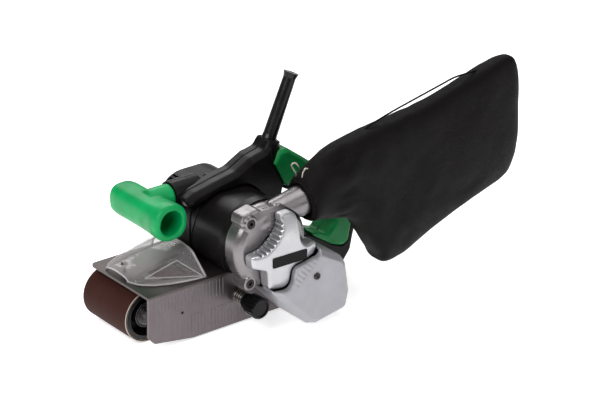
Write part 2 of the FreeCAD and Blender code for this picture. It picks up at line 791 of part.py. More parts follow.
def front_grip_bolt():
    shank = Part.makeCylinder(3.5, 42, Vector(-52, neck_y, neck_z), X)
    head = Part.makeCylinder(5, 5, Vector(-57, neck_y, neck_z), X)
    socket = Part.makeCylinder(2.5, 3, Vector(-58, neck_y, neck_z), X)
    return fuse(shank, head).cut(socket)


arm_points = [(-26, 124, 2), (-31, 133, 3), (-18, 139, 8), (6, 144, 20), (33, 149, 10),
              (52, 159, 10), (70, 163, 8), (77, 172.5, 3), (102, 162, 5), (100, 146, 4),
              (84, 132, 6), (62, 130, 8)]

# Black core inside the green grip, from the boss to the foot
spine_points = [(72, 152, 0), (98, 151, 0), (116, 138, 8), (140, 118, 20), (161, 95, 20),
                (174, 68, 20), (178, 44, 8), (176, 20, 0), (156, 27, 0), (166, 60, 8),
                (156, 86, 14), (134, 107, 12), (104, 121, 8), (74, 133, 0)]

# Fairing that fills the corner between the arm, the motor and the grip
web_points = [(50, 140, 0), (80, 146, 0), (92, 122, 4), (86, 99, 6), (58, 96, 0), (40, 120, 0)]

foot_points = [(112, 56, 0), (112, 12, 0), (148, 4, 8), (168, 4, 10), (181, 20, 10),
               (187, 46, 14), (182, 74, 0), (179, 73, 0), (182, 50, 8), (178, 31, 6),
               (170, 27, 6), (156, 33, 8), (142, 42.5, 6), (124, 54, 4)]

grip_points = [(86, 160, 4), (98, 159, 4), (118, 144, 10), (142, 125, 20), (165, 99, 20),
               (179, 74, 20), (183, 50, 10), (179, 31, 6), (171, 27, 6), (157, 32, 6),
               (146, 45, 5), (161, 60, 8), (152, 84, 10), (130, 103, 10), (112, 112.5, 10),
               (92, 119, 6), (74, 129, 4), (74, 142, 4)]

tongue_points = [(130, 50.5, 1), (131, 54, 1), (150, 46, 0), (158, 34, 0), (156, 33, 0)]


def motor_envelope():
    """Space taken by the motor casing below the handle's arm."""
    casing = prism(tail_points, barrel_near_y, tail_far_y)
    neck = Part.makeCylinder(15.2, 40, Vector(neck_face_x, neck_y, neck_z), X)
    return fuse(casing, neck)


def boss_envelope():
    """Limits the arm's rear end to a round boss about the cord guard."""
    axis = guard_axis()
    cone = Part.makeCone(17, 12, 46, guard_base - axis * 40, axis)
    return box(-60, guard_base.x - 6, -60, 30, 100, 200).fuse(cone)


def handle_solid():
    near = handle_y - handle_half
    far = handle_y + handle_half
    arm = bevelled(arm_points, near, far, 5).common(boss_envelope())
    foot = prism(foot_points, near, far).cut(rod(axle_x, axle_z, hood_outer_r, near, far))
    spine = prism(spine_points, near + 4, far - 4)
    web = prism(web_points, near, far)
    body = fuse(arm, foot, spine, web)
    return body.cut(motor_envelope()).cut(trigger_room())


def handle_cavity():
    arm = prism([(30, 142, 0), (54, 153, 4), (74, 157, 4), (96, 154, 4), (80, 141, 4)],
                handle_y - 11, handle_y + 11)
    grip = prism(inset(spine_points, 3), handle_y - 8, handle_y + 8)
    foot = prism([(131, 40, 0), (131, 15, 0), (150, 9, 6), (168, 9, 6), (180, 24, 6),
                  (168, 25, 4), (150, 34, 6)], handle_y - 11, handle_y + 11)
    return fuse(arm, grip, foot)


def handle_half_shell(near):
    """One clamshell half of the black handle housing."""
    body = handle_solid().cut(handle_cavity()).cut(cord_channel())
    body = body.cut(switch_body()).cut(handle_screws())
    if near:
        half = box(-100, 300, -100, handle_y, -10, 300)
    else:
        half = box(-100, 300, handle_y, 100, -10, 300)
    body = body.common(half)
    if near:
        body = body.cut(lock_bore())
    else:
        body = body.cut(dial_room())
    return max(body.Solids, key=lambda solid: solid.Volume)


def handle_shell_left():
    return handle_half_shell(True)


def handle_shell_right():
    return handle_half_shell(False)


def grip_half_pad(near):
    """One half of the soft green grip moulded over the handle's core."""
    outer_near = handle_y - grip_half
    outer_far = handle_y + grip_half
    body = bevelled(grip_points, outer_near, outer_far, 3.5)
    body = body.fuse(prism(tongue_points, outer_near + 2, outer_far - 2))
    arm = prism(arm_points, handle_y - handle_half, handle_y + handle_half)
    body = body.cut(arm.common(boss_envelope()))
    body = body.cut(prism(web_points, outer_near, outer_far))
    body = body.cut(prism(foot_points, outer_near - 1, outer_far + 1))
    body = body.cut(prism(spine_points, handle_y - handle_half + 4, handle_y + handle_half - 4))
    body = body.cut(trigger_room())
    if near:
        body = body.common(box(-100, 300, -100, handle_y, -10, 300)).cut(lock_bore())
    else:
        body = body.common(box(-100, 300, handle_y, 100, -10, 300)).cut(handle_screws())
    return max(body.Solids, key=lambda solid: solid.Volume)


def rear_grip_left():
    return grip_half_pad(True)


def rear_grip_right():
    return grip_half_pad(False)


trigger_root = Vector(100, 0, 117)
trigger_dir = Vector(0.9, 0, -0.436)
trigger_in = Vector(0.436, 0, 0.9)


def trigger_block(start, end, out, depth, half_width):
    """Box on the inner edge of the grip: along it, out of it and into it."""
    corners = []
    for along, inwards in ((start, -out), (end, -out), (end, depth), (start, depth)):
        corner = trigger_root + trigger_dir * along + trigger_in * inwards
        corners.append((corner.x, corner.z, 0.8))
    return prism(corners, handle_y - half_width, handle_y + half_width)


def trigger_room():
    return trigger_block(0.6, 28.4, 12, 13, 7.4)


def trigger():
    return trigger_block(1, 28, 6, 7, 7)


def switch_body():
    return trigger_block(4, 24, -13.5, 21, 7)


lock_x = 122.0
lock_z = 126.0


def lock_bore():
    return rod(lock_x, lock_z, 5.3, -60, handle_y - 8)


def lock_button():
    return rod(lock_x, lock_z, 5, handle_y - grip_half - 3, handle_y - 11.5)


dial_x = 62.0
dial_z = 147.5


def dial_room():
    return rod(dial_x, dial_z, 9.4, handle_y + handle_half - 5, handle_y + handle_half + 5)


def speed_dial():
    body = rod(dial_x, dial_z, 9, handle_y + handle_half - 4.7, handle_y + handle_half + 2)
    for i in range(18):
        angle = 2 * math.pi * i / 18
        x = dial_x + 9.4 * math.cos(angle)
        z = dial_z + 9.4 * math.sin(angle)
        body = body.cut(rod(x, z, 0.8, handle_y, 50))
    return body


def guard_axis():
    angle = math.radians(guard_tilt)
    return Vector(math.sin(angle), 0, math.cos(angle))


def cord_channel():
    """Seat for the cord guard's foot and the cord's way into the handle."""
    axis = guard_axis()
    seat = Part.makeCylinder(guard_flange_r, 6, guard_base - axis * guard_root, axis)
    mouth = Part.makeCylinder(guard_r, 30, guard_base - axis * (guard_root - 4), axis)
    way = Part.makeCylinder(cord_bore_r, 30, guard_base - axis * (guard_root + 15), axis)
    return fuse(seat, mouth, way)


def cord_guard():
    """Rubber sleeve with a flared lip; the cord would run through its bore."""
    profile = [(cord_bore_r, -guard_root), (guard_flange_r, -guard_root),
               (guard_flange_r, 6 - guard_root), (guard_r, 6 - guard_root), (guard_r, 4), (guard_r - 0.6, 8), (guard_r - 1.4, guard_length - 6),
               (guard_r + 0.2, guard_length), (cord_bore_r, guard_length)]
    return turned(profile, guard_base, guard_axis())


def handle_screws():
    """Screws that close the two handle halves, entered from the far side."""
    pieces = []
    for x, z in ((14, 140.5), (88, 144), (155, 20)):
        y = handle_y + handle_half
        depth = 20
        pieces.append(turned([(0, 0), (3.4, 0), (3.4, 2.5), (1.8, 2.5), (1.8, depth), (0, depth)],
                             Vector(x, y, z), Vector(0, -1, 0)))
    return Part.makeCompound(pieces)


# ---------------------------------------------------------------- dust hood and bag

def hood_section(x, near, far, height):
    """Arch across the top plate at one station."""
    base = plate_top_z
    points = [Vector(x, near, base), Vector(x, near + 0.22 * (far - near), base + 0.75 * height),
              Vector(x, (near + far) / 2, base + height),
              Vector(x, far - 0.22 * (far - near), base + 0.75 * height), Vector(x, far, base)]
    curve = Part.BSplineCurve()
    curve.interpolate(points)
    return Part.Wire([curve.toShape(), Part.LineSegment(points[-1], points[0]).toShape()])


def hood_body(inset):
    i = inset
    stations = [(-101 + i, -22 + i, 20 - i, 5 - i * 0.5), (-84, -44 + i, 28 - i, 10 - i),
                (-58, -54 + i, 33 - i, 19 - i), (-32 + i, -58 + i, 36 - i, 24 - i)]
    return Part.makeLoft([hood_section(*station) for station in stations], True)


def dust_hood():
    """Clear hood over the dust passage in front of the motor."""
    body = hood_body(0).cut(hood_body(1.8))
    boss = Part.makeCylinder(4, 8.5, hood_screw, Z)
    body = body.fuse(boss).cut(Part.makeCylinder(1.9, 20, hood_screw - Z * 5, Z))
    body = body.cut(Part.makeCylinder(4.2, 12, hood_screw + Z * 8.5, Z))
    return max(body.Solids, key=lambda solid: solid.Volume)


bag_points = [(79, 154, 4), (90, 166, 8), (146, 184, 20), (226, 198, 30), (325, 217, 14),
              (345, 219, 8), (358, 207, 8), (368, 140, 40), (363, 92, 12), (346, 79, 10),
              (280, 61, 30), (214, 36, 20), (196, 30, 6), (179, 30, 6), (136, 90, 14),
              (84, 112, 4)]


def bag_mouth(radius_mouth, radius_end, start, length):
    """Solid about the outlet's axis, start measured back from the pipe's mouth."""
    axis = outlet_axis()
    if radius_mouth == radius_end:
        return Part.makeCylinder(radius_mouth, length, outlet_mouth - axis * start, axis)
    return Part.makeCone(radius_mouth, radius_end, length, outlet_mouth - axis * start, axis)


def dust_bag():
    """Closed outer shape of the fabric bag, gathered round its collar at the mouth."""
    body = bevelled(bag_points, bag_y - bag_half, bag_y + bag_half, 12)
    body = body.fuse(bag_mouth(23.5, 23.5, 3, 16)).fuse(bag_mouth(23.5, 12, -13, 30))
    return body.cut(bag_mouth(21.3, 21.3, 20, 32)).cut(bag_clip())


def bag_collar():
    """Plastic ring inside the bag's mouth, pushed over the outlet pipe."""
    body = bag_mouth(21, 21, 4, 15)
    return body.cut(outlet_cone(-0.4, 0, 0)).cut(bag_mouth(15, 15, 20, 60))


def bag_clip():
    """Spring-wire clip round the collar, with two finger loops on top."""
    axis = outlet_axis()
    centre = outlet_mouth + axis * 2
    hoop_r = 22.4
    hoop = Part.makeTorus(hoop_r, 0.9, centre, axis)
    loops = []
    for degrees in (18, 38):
        angle = math.radians(degrees)
        out = Vector(-axis.z, 0, axis.x) * math.cos(angle) + Y * math.sin(angle)
        loops.append(Part.makeTorus(4.6, 0.9, centre + out * (hoop_r + 5), out.cross(axis)))
    return fuse(hoop, *loops)


nodes = [
    sanding_belt, platen_pad, platen_plate, front_roller, front_roller_bearings, front_axle,
    idler_yoke, yoke_pin, tension_slider, tension_spring, tension_lever, drive_roller,
    drive_tyre, drive_shaft, shaft_bearings, driven_pulley, motor_pulley, timing_belt,
    side_skirt, top_plate, frame_casting, rear_hood, skirt_screws, motor_housing, tail_housing,
    brush_holders, carbon_brushes, brush_caps, armature_shaft, armature_core, commutator,
    stator_core, field_coils, cooling_fan, dust_impeller, fan_housing, outlet_pipe,
    pulley_cover, name_plate, belt_cover, cover_screws, tracking_knob, tracking_screw,
    tracking_spring, front_grip, front_grip_bolt, handle_shell_left, handle_shell_right,
    rear_grip_left, rear_grip_right, handle_screws, trigger, switch_body, lock_button,
    speed_dial, cord_guard, dust_hood, dust_bag, bag_collar, bag_clip,
]

os.makedirs("parts", exist_ok=True)
for make in nodes:
    shape = make()
    if not shape.isValid():
        print("invalid shape:", make.__name__)
    shape.exportStep("parts/" + make.__name__ + ".step")
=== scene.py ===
"""Looks of a handheld belt sander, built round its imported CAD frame.

Lengths are metres in the CAD frame: +X towards the rear handle, -Y towards the drive-cover
side, +Z up. Each function makes one look, one piece or one group of equal pieces.
"""
import json
import math

import bmesh
import bpy
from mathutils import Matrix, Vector, noise

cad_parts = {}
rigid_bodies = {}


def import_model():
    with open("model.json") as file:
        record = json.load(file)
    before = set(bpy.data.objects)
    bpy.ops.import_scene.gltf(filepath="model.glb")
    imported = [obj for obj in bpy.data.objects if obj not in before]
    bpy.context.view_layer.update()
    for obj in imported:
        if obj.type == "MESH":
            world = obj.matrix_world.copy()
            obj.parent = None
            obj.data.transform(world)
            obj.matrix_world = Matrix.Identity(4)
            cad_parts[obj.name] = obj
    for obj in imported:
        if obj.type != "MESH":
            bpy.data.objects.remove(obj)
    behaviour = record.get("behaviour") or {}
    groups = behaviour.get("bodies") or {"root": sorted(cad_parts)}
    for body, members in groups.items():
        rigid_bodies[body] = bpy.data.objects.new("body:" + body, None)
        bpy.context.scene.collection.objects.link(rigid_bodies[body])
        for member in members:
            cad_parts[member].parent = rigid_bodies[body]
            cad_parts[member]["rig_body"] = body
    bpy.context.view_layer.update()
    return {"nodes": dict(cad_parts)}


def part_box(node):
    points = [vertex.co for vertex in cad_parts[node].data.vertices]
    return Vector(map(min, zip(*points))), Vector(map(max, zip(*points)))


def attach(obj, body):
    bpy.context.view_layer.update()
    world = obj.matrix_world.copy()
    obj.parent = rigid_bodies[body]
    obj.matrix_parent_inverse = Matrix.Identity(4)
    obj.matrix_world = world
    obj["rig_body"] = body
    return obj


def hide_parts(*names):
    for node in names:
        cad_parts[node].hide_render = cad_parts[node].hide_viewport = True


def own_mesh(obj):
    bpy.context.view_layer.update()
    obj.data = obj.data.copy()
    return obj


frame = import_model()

scene = bpy.context.scene
MM = 0.001


# ---------------------------------------------------------------- camera and stage

CAMERA_TARGET = Vector((0.13405, 0.0, 0.0812))
CAMERA_AZIMUTH = math.radians(-37.9)
CAMERA_ELEVATION = math.radians(24.2)
CAMERA_DISTANCE = 2.7547
CAMERA_LENS = 156.0
SENSOR_WIDTH = 36.0

WORLD_TINT = (1.0, 0.98, 0.97, 1.0)
WORLD_STRENGTH = 0.2

# Soft lights: name, azimuth and elevation in degrees, distance, width and height, power in watts.
SOFTBOXES = [
    ("key", -75, 42, 1.6, 1.1, 0.8, 17.0),
    ("fill", 25, 30, 1.9, 1.2, 1.2, 4.5),
    ("top", 60, 78, 1.7, 1.6, 1.0, 12.0),
    ("rim", 160, 38, 1.8, 1.4, 0.6, 12.0),
]

# Half the floor's side in metres, and how strongly it glows.
FLOOR_REACH = 6
FLOOR_GLOW = 0.62


def direction(azimuth, elevation):
    """Unit vector from the object towards a point at these angles, in radians."""
    flat = math.cos(elevation)
    return Vector((math.sin(azimuth) * flat, -math.cos(azimuth) * flat, math.sin(elevation)))


def add_camera():
    camera = bpy.data.objects.new("camera", bpy.data.cameras.new("camera"))
    scene.collection.objects.link(camera)
    back = direction(CAMERA_AZIMUTH, CAMERA_ELEVATION)
    camera.location = CAMERA_TARGET + back * CAMERA_DISTANCE
    camera.rotation_mode = "QUATERNION"
    camera.rotation_quaternion = (-back).to_track_quat("-Z", "Y")
    camera.data.lens = CAMERA_LENS
    camera.data.sensor_width = SENSOR_WIDTH
    camera.data.clip_start = 0.05
    camera.data.clip_end = 50.0
    scene.camera = camera


def add_softbox(name, azimuth, elevation, distance, width, height, power):
    """Rectangular area light that looks at the object."""
    light = bpy.data.lights.new(name, "AREA")
    light.shape = "RECTANGLE"
    light.size = width
    light.size_y = height
    light.energy = power
    lamp = bpy.data.objects.new(name, light)
    scene.collection.objects.link(lamp)
    back = direction(math.radians(azimuth), math.radians(elevation))
    lamp.location = CAMERA_TARGET + back * distance
    lamp.rotation_mode = "QUATERNION"
    lamp.rotation_quaternion = (-back).to_track_quat("-Z", "Y")


def add_studio():
    scene.view_settings.view_transform = "Standard"
    world = bpy.data.worlds.new("studio")
    world.use_nodes = True
    background = world.node_tree.nodes["Background"]
    background.inputs["Color"].default_value = WORLD_TINT
    background.inputs["Strength"].default_value = WORLD_STRENGTH
    scene.world = world
    for softbox in SOFTBOXES:
        add_softbox(*softbox)


def add_floor():
    """White ground, glowing a little so that it stays white away from the lights."""
    corners = [(-FLOOR_REACH, -FLOOR_REACH, 0), (FLOOR_REACH, -FLOOR_REACH, 0),
               (FLOOR_REACH, FLOOR_REACH, 0), (-FLOOR_REACH, FLOOR_REACH, 0)]
    mesh = mesh_from("floor", corners, [(0, 1, 2, 3)])
    floor = bpy.data.objects.new("floor", mesh)
    scene.collection.objects.link(floor)
    look = Look("floor")
    tone = look.mix(look.noise(3.0, 2.0), srgb(250, 250, 250), srgb(255, 255, 255))
    look.set(base_color=tone, roughness=0.9, specular_ior_level=0.1,
             emission_color=(1.0, 1.0, 1.0, 1.0), emission_strength=FLOOR_GLOW)
    mesh.materials.append(look.material)


# ---------------------------------------------------------------- node trees

def srgb(red, green, blue):
    """Linear colour of a screen colour given in 0 to 255 steps."""
    def linear(step):
        value = step / 255
        return value / 12.92 if value <= 0.04045 else ((value + 0.055) / 1.055) ** 2.4
    return (linear(red), linear(green), linear(blue), 1.0)


def shaded(colour, share):
    """The colour, darkened to this share of itself."""
    return tuple(share * c for c in colour[:3]) + (1.0,)


def rubbed_pale(colour):
    """The colour as it looks where handling has rubbed it."""
    return tuple(min(1.0, 1.6 * c + 0.01) for c in colour)


class Look:
    """A procedural material: one Principled shader and the nodes that feed it."""

    def __init__(self, name, **sockets):
        self.material = bpy.data.materials.new("look_" + name)
        self.material.use_nodes = True
        self.tree = self.material.node_tree
        self.tree.nodes.clear()
        output = self.tree.nodes.new("ShaderNodeOutputMaterial")
        self.shader = self.tree.nodes.new("ShaderNodeBsdfPrincipled")
        self.tree.links.new(self.shader.outputs[0], output.inputs["Surface"])
        self.place = self.node("ShaderNodeTexCoord").outputs["Object"]
        self.set(**sockets)

    def node(self, kind, inputs=None, **settings):
        """New node with its settings, and its inputs set or linked."""
        made = self.tree.nodes.new(kind)
        for key, value in settings.items():
            setattr(made, key, value)
        for key, value in (inputs or {}).items():
            self.feed(made.inputs[key], value)
        return made

    def feed(self, socket, value):
        """Links the value if it comes from a node, else stores it."""
        if isinstance(value, bpy.types.NodeSocket):
            self.tree.links.new(value, socket)
        else:
            socket.default_value = value

    def set(self, **sockets):
        """Sets or links the shader's inputs; base_color stands for Base Color."""
        for key, value in sockets.items():
            socket = key.replace("_", " ").title().replace("Ior", "IOR")
            self.feed(self.shader.inputs[socket], value)
        return self

    def math(self, operation, first, second=0.0, clamp=False):
        """Result of one step of arithmetic."""
        made = self.node("ShaderNodeMath", {0: first, 1: second}, operation=operation)
        made.use_clamp = clamp
        return made.outputs[0]

    def axes(self):
        """The x, y and z of the shaded point, in metres."""
        return self.node("ShaderNodeSeparateXYZ", {0: self.place}).outputs

    def noise(self, scale, detail=3.0, stretch=None):
        """Cloudy pattern with about this many patches per metre; a low stretch draws them out."""
        place = self.place
        if stretch:
            place = self.node("ShaderNodeMapping", {"Vector": place, "Scale": stretch}).outputs[0]
        inputs = {"Vector": place, "Scale": scale, "Detail": detail}
        return self.node("ShaderNodeTexNoise", inputs).outputs[0]

    def cells(self, scale):
        """Grains, about this many per metre."""
        inputs = {"Vector": self.place, "Scale": scale}
        return self.node("ShaderNodeTexVoronoi", inputs).outputs["Distance"]

    def span(self, value, low, high, to_low=0.0, to_high=1.0):
        """Maps low..high to to_low..to_high and clamps outside."""
        inputs = {"Value": value, 1: low, 2: high, 3: to_low, 4: to_high}
        return self.node("ShaderNodeMapRange", inputs).outputs[0]

    def mix(self, factor, first, second):
        """The first colour, giving way to the second as the factor goes from 0 to 1."""
        made = self.node("ShaderNodeMix", data_type="RGBA")
        self.feed(made.inputs[0], factor)
        self.feed(made.inputs[6], first)
        self.feed(made.inputs[7], second)
        return made.outputs[2]

    def rounded(self, radius):
        """Normal of the surface with its sharp edges rounded."""
        return self.node("ShaderNodeBevel", {"Radius": radius}, samples=4).outputs[0]

    def edges(self, rounded):
        """1 along sharp edges, 0 elsewhere."""
        flat = self.node("ShaderNodeNewGeometry").outputs["Normal"]
        same = self.node("ShaderNodeVectorMath", {0: rounded, 1: flat}, operation="DOT_PRODUCT")
        return self.span(same.outputs["Value"], 0.985, 0.9)

    def hollows(self, reach):
        """1 in grooves and inside corners, where shade gathers, 0 on open faces."""
        probe = self.node("ShaderNodeAmbientOcclusion", {"Distance": reach}, samples=8)
        return self.span(probe.outputs["AO"], 0.35, 0.85, 1.0, 0.0)

    def grimed_and_shaded(self, tone, reach, share, grime_and_shade):
        """The tone, with this share of grime and painted shade in its grooves and inside corners."""
        return self.mix(self.math("MULTIPLY", self.hollows(reach), share), tone, grime_and_shade)

    def worn(self, tone, smooth, share, bare):
        """The tone, with this share of the bare colour along sharp edges."""
        return self.mix(self.math("MULTIPLY", self.edges(smooth), share), tone, bare)

    def bump(self, height, distance, normal=None, strength=1.0):
        """Normal of the surface raised by height times distance."""
        inputs = {"Height": height, "Distance": distance, "Strength": strength}
        if normal is not None:
            inputs["Normal"] = normal
        return self.node("ShaderNodeBump", inputs).outputs[0]


# ---------------------------------------------------------------- looks

def moulded(name, dark, light, roughness, grain=2600.0, depth=0.03 * MM, scuff=None,
            shine_level=0.36):
    """Moulded plastic or rubber: fine grain, cloudy tone, edges rubbed paler, painted shade and some grime
    in its hollows.
    """
    look = Look(name, specular_ior_level=shine_level)
    tone = look.mix(look.span(look.noise(45.0), 0.35, 0.65), dark, light)
    smooth = look.rounded(0.5 * MM)
    handled = look.span(look.noise(160.0), 0.42, 0.7, 0.1, 0.75)
    tone = look.worn(tone, smooth, handled, scuff or rubbed_pale(light))
    grains = look.noise(grain, 2.0)
    smears = look.span(look.noise(75.0, 5.0), 0.3, 0.7, roughness - 0.05, roughness + 0.07)
    shine = look.math("ADD", smears, look.span(grains, 0.3, 0.7, -0.03, 0.03))
    # Painted shade, with some grime: the tone darkens in grooves and inside corners.
    tone = look.grimed_and_shaded(tone, 6 * MM, 0.8, shaded(dark, 0.2))
    return look.set(base_color=tone, roughness=shine, normal=look.bump(grains, depth, smooth))


def cast(name, dark, light, roughness, metallic=0.75, grime_and_shade=5 * MM):
    """Painted or blasted casting: fine speckle, soft unevenness, bright edges, painted shade and some grime
    in its hollows.
    """
    look = Look(name, metallic=metallic)
    speckle = look.noise(3200.0, 2.0)
    cloud = look.noise(38.0, 4.0)
    mottle = look.math("ADD", cloud, look.math("MULTIPLY", speckle, 0.5))
    tone = look.mix(look.span(mottle, 0.5, 1.0), dark, light)
    smooth = look.rounded(0.7 * MM)
    tone = look.worn(tone, smooth, 0.6, srgb(214, 213, 216))
    # Painted shade, with some grime: the tone darkens in grooves and inside corners.
    tone = look.grimed_and_shaded(tone, grime_and_shade, 0.85, shaded(dark, 0.22))
    shine = look.span(look.noise(110.0, 5.0), 0.3, 0.7, roughness - 0.06, roughness + 0.08)
    waves = look.bump(look.noise(260.0, 2.0), 0.02 * MM, smooth, 0.5)
    return look.set(base_color=tone, roughness=shine, normal=look.bump(speckle, 0.05 * MM, waves))


def brushed(name, dark, light, roughness, stretch):
    """Rolled or turned metal with fine lines along one direction."""
    look = Look(name, metallic=0.9)
    lines = look.noise(900.0, 3.0, stretch)
    tone = look.mix(look.span(lines, 0.3, 0.7), dark, light)
    stain = look.span(look.noise(30.0, 4.0), 0.45, 0.75, 0.0, 0.35)
    tone = look.mix(stain, tone, shaded(dark, 0.7))
    smooth = look.rounded(0.3 * MM)
    tone = look.worn(tone, smooth, 0.5, srgb(190, 188, 190))
    shine = look.span(lines, 0.25, 0.75, roughness - 0.07, roughness + 0.1)
    return look.set(base_color=tone, roughness=shine, normal=look.bump(lines, 0.02 * MM, smooth))


def abrasive():
    """Resin-bonded grit outside, woven cloth backing inside and on the cut edges."""
    grit_depth, bare_edge = 0.35 * MM, 0.25 * MM
    thread_rate = 7000.0  # radians per metre
    low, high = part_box("sanding_belt")
    radius = (high.z - low.z) / 2
    reach = (high.x - low.x) / 2 - radius
    look = Look("abrasive", specular_ior_level=0.12)
    x, y, z = look.axes()
    outside = look.math("SUBTRACT", look.math("ABSOLUTE", x), reach)
    outside = look.math("MAXIMUM", outside, 0.0)
    above = look.math("SUBTRACT", z, (high.z + low.z) / 2)
    away = look.math("SQRT", look.math("ADD", look.math("MULTIPLY", outside, outside),
                                       look.math("MULTIPLY", above, above)))
    grit_side = look.math("GREATER_THAN", away, radius - grit_depth)
    within = look.math("LESS_THAN", look.math("ABSOLUTE", y), (high.y - low.y) / 2 - bare_edge)
    grit_side = look.math("MULTIPLY", grit_side, within)
    grit = look.cells(2400.0)
    coarse = look.noise(1300.0, 4.0)
    brown = look.mix(look.span(grit, 0.1, 0.6), srgb(26, 11, 9), srgb(58, 28, 22))
    dusty = look.span(look.noise(40.0, 5.0, (0.6, 2.0, 0.6)), 0.5, 0.75, 0.0, 0.3)
    brown = look.mix(dusty, brown, srgb(66, 38, 30))
    weave = look.math("MULTIPLY", look.math("SINE", look.math("MULTIPLY", y, thread_rate)),
                      look.math("SINE", look.math("MULTIPLY", look.math("ADD", x, z), thread_rate)))
    cloth = look.mix(look.span(weave, -1.0, 1.0), srgb(176, 160, 146), srgb(226, 214, 202))
    rough = look.math("ADD", look.span(grit, 0.0, 0.6, 0.0, -0.1), 0.78)
    relief = look.math("ADD", look.math("MULTIPLY", grit, 0.6), look.math("MULTIPLY", coarse, 0.6))
    relief = look.math("MULTIPLY", relief, look.span(grit_side, 0.0, 1.0, 0.3, 1.0))
    return look.set(base_color=look.mix(grit_side, cloth, brown), roughness=rough,
                    normal=look.bump(relief, 0.22 * MM))


def woven(name, dark, light):
    """Close plain weave, with slubs, faint creases and a little lint."""
    thread, thread_lean = 0.42 * MM, 0.7
    look = Look(name, sheen_weight=0.02, sheen_roughness=0.5, specular_ior_level=0.11)
    look.set(sheen_tint=srgb(96, 86, 84))
    x, y, z = look.axes()
    thread_rate = 2 * math.pi / thread  # radians per metre
    lean = look.math("MULTIPLY", y, thread_lean)
    across = look.math("SINE", look.math("MULTIPLY", look.math("ADD", x, lean), thread_rate))
    down = look.math("SINE", look.math("MULTIPLY", look.math("SUBTRACT", z, lean), thread_rate))
    weave = look.math("MULTIPLY", across, down)
    slub = look.noise(900.0, 2.0, (0.3, 1.0, 1.4))
    worn = look.noise(22.0, 5.0)
    tone = look.mix(look.span(weave, -1.0, 1.0, 0.1, 0.75), dark, light)
    tone = look.mix(look.span(worn, 0.45, 0.75, 0.0, 0.4), tone, light)
    lint = look.math("GREATER_THAN", look.noise(1500.0, 1.0, (1.0, 1.0, 0.2)), 0.76)
    tone = look.mix(look.math("MULTIPLY", lint, 0.35), tone, srgb(120, 112, 108))
    creases = look.bump(look.noise(55.0, 5.0, (1.0, 1.0, 1.6)), 1.6 * MM, None, 0.55)
    threads = look.bump(look.math("ADD", weave, slub), 0.1 * MM, creases, 0.6)
    shine = look.span(slub, 0.3, 0.7, 0.5, 0.64)
    return look.set(base_color=tone, roughness=shine, normal=threads)


def clear(name, facing_haze, slant_reflection, low, high):
    """Clear polycarbonate: see-through and a little hazy face on, with a painted pale reflection where it
    slants away; faintly scratched.
    """
    look = Look(name, ior=1.46, specular_ior_level=0.8)
    haze = look.noise(60.0, 4.0)
    scratch = look.noise(700.0, 3.0, (1.0, 0.12, 0.5))
    tone = look.mix(look.span(haze, 0.3, 0.7), low, high)
    slant = look.node("ShaderNodeLayerWeight", {"Blend": 0.5}).outputs["Facing"]
    # Painted reflection: the pale tone covers more of the see-through plastic where the surface slants away.
    haze_and_reflection = look.span(slant, 0.15, 0.95, facing_haze, slant_reflection)
    haze_and_reflection = look.math("ADD", haze_and_reflection, look.span(scratch, 0.55, 0.8, 0.0, 0.12), True)
    shine = look.span(scratch, 0.35, 0.75, 0.08, 0.16)
    return look.set(base_color=tone, roughness=shine, alpha=haze_and_reflection)


def wound(name, dark, light):
    """Enamelled winding wire, seen as fine turns."""
    turn_rate = 9000.0  # radians per metre
    look = Look(name, metallic=0.85)
    x, _, z = look.axes()
    turns = look.math("SINE", look.math("MULTIPLY", look.math("ADD", x, z), turn_rate))
    tone = look.mix(look.span(turns, -1.0, 1.0), dark, light)
    shine = look.span(look.noise(400.0), 0.3, 0.7, 0.28, 0.45)
    return look.set(base_color=tone, roughness=shine, normal=look.bump(turns, 0.12 * MM))


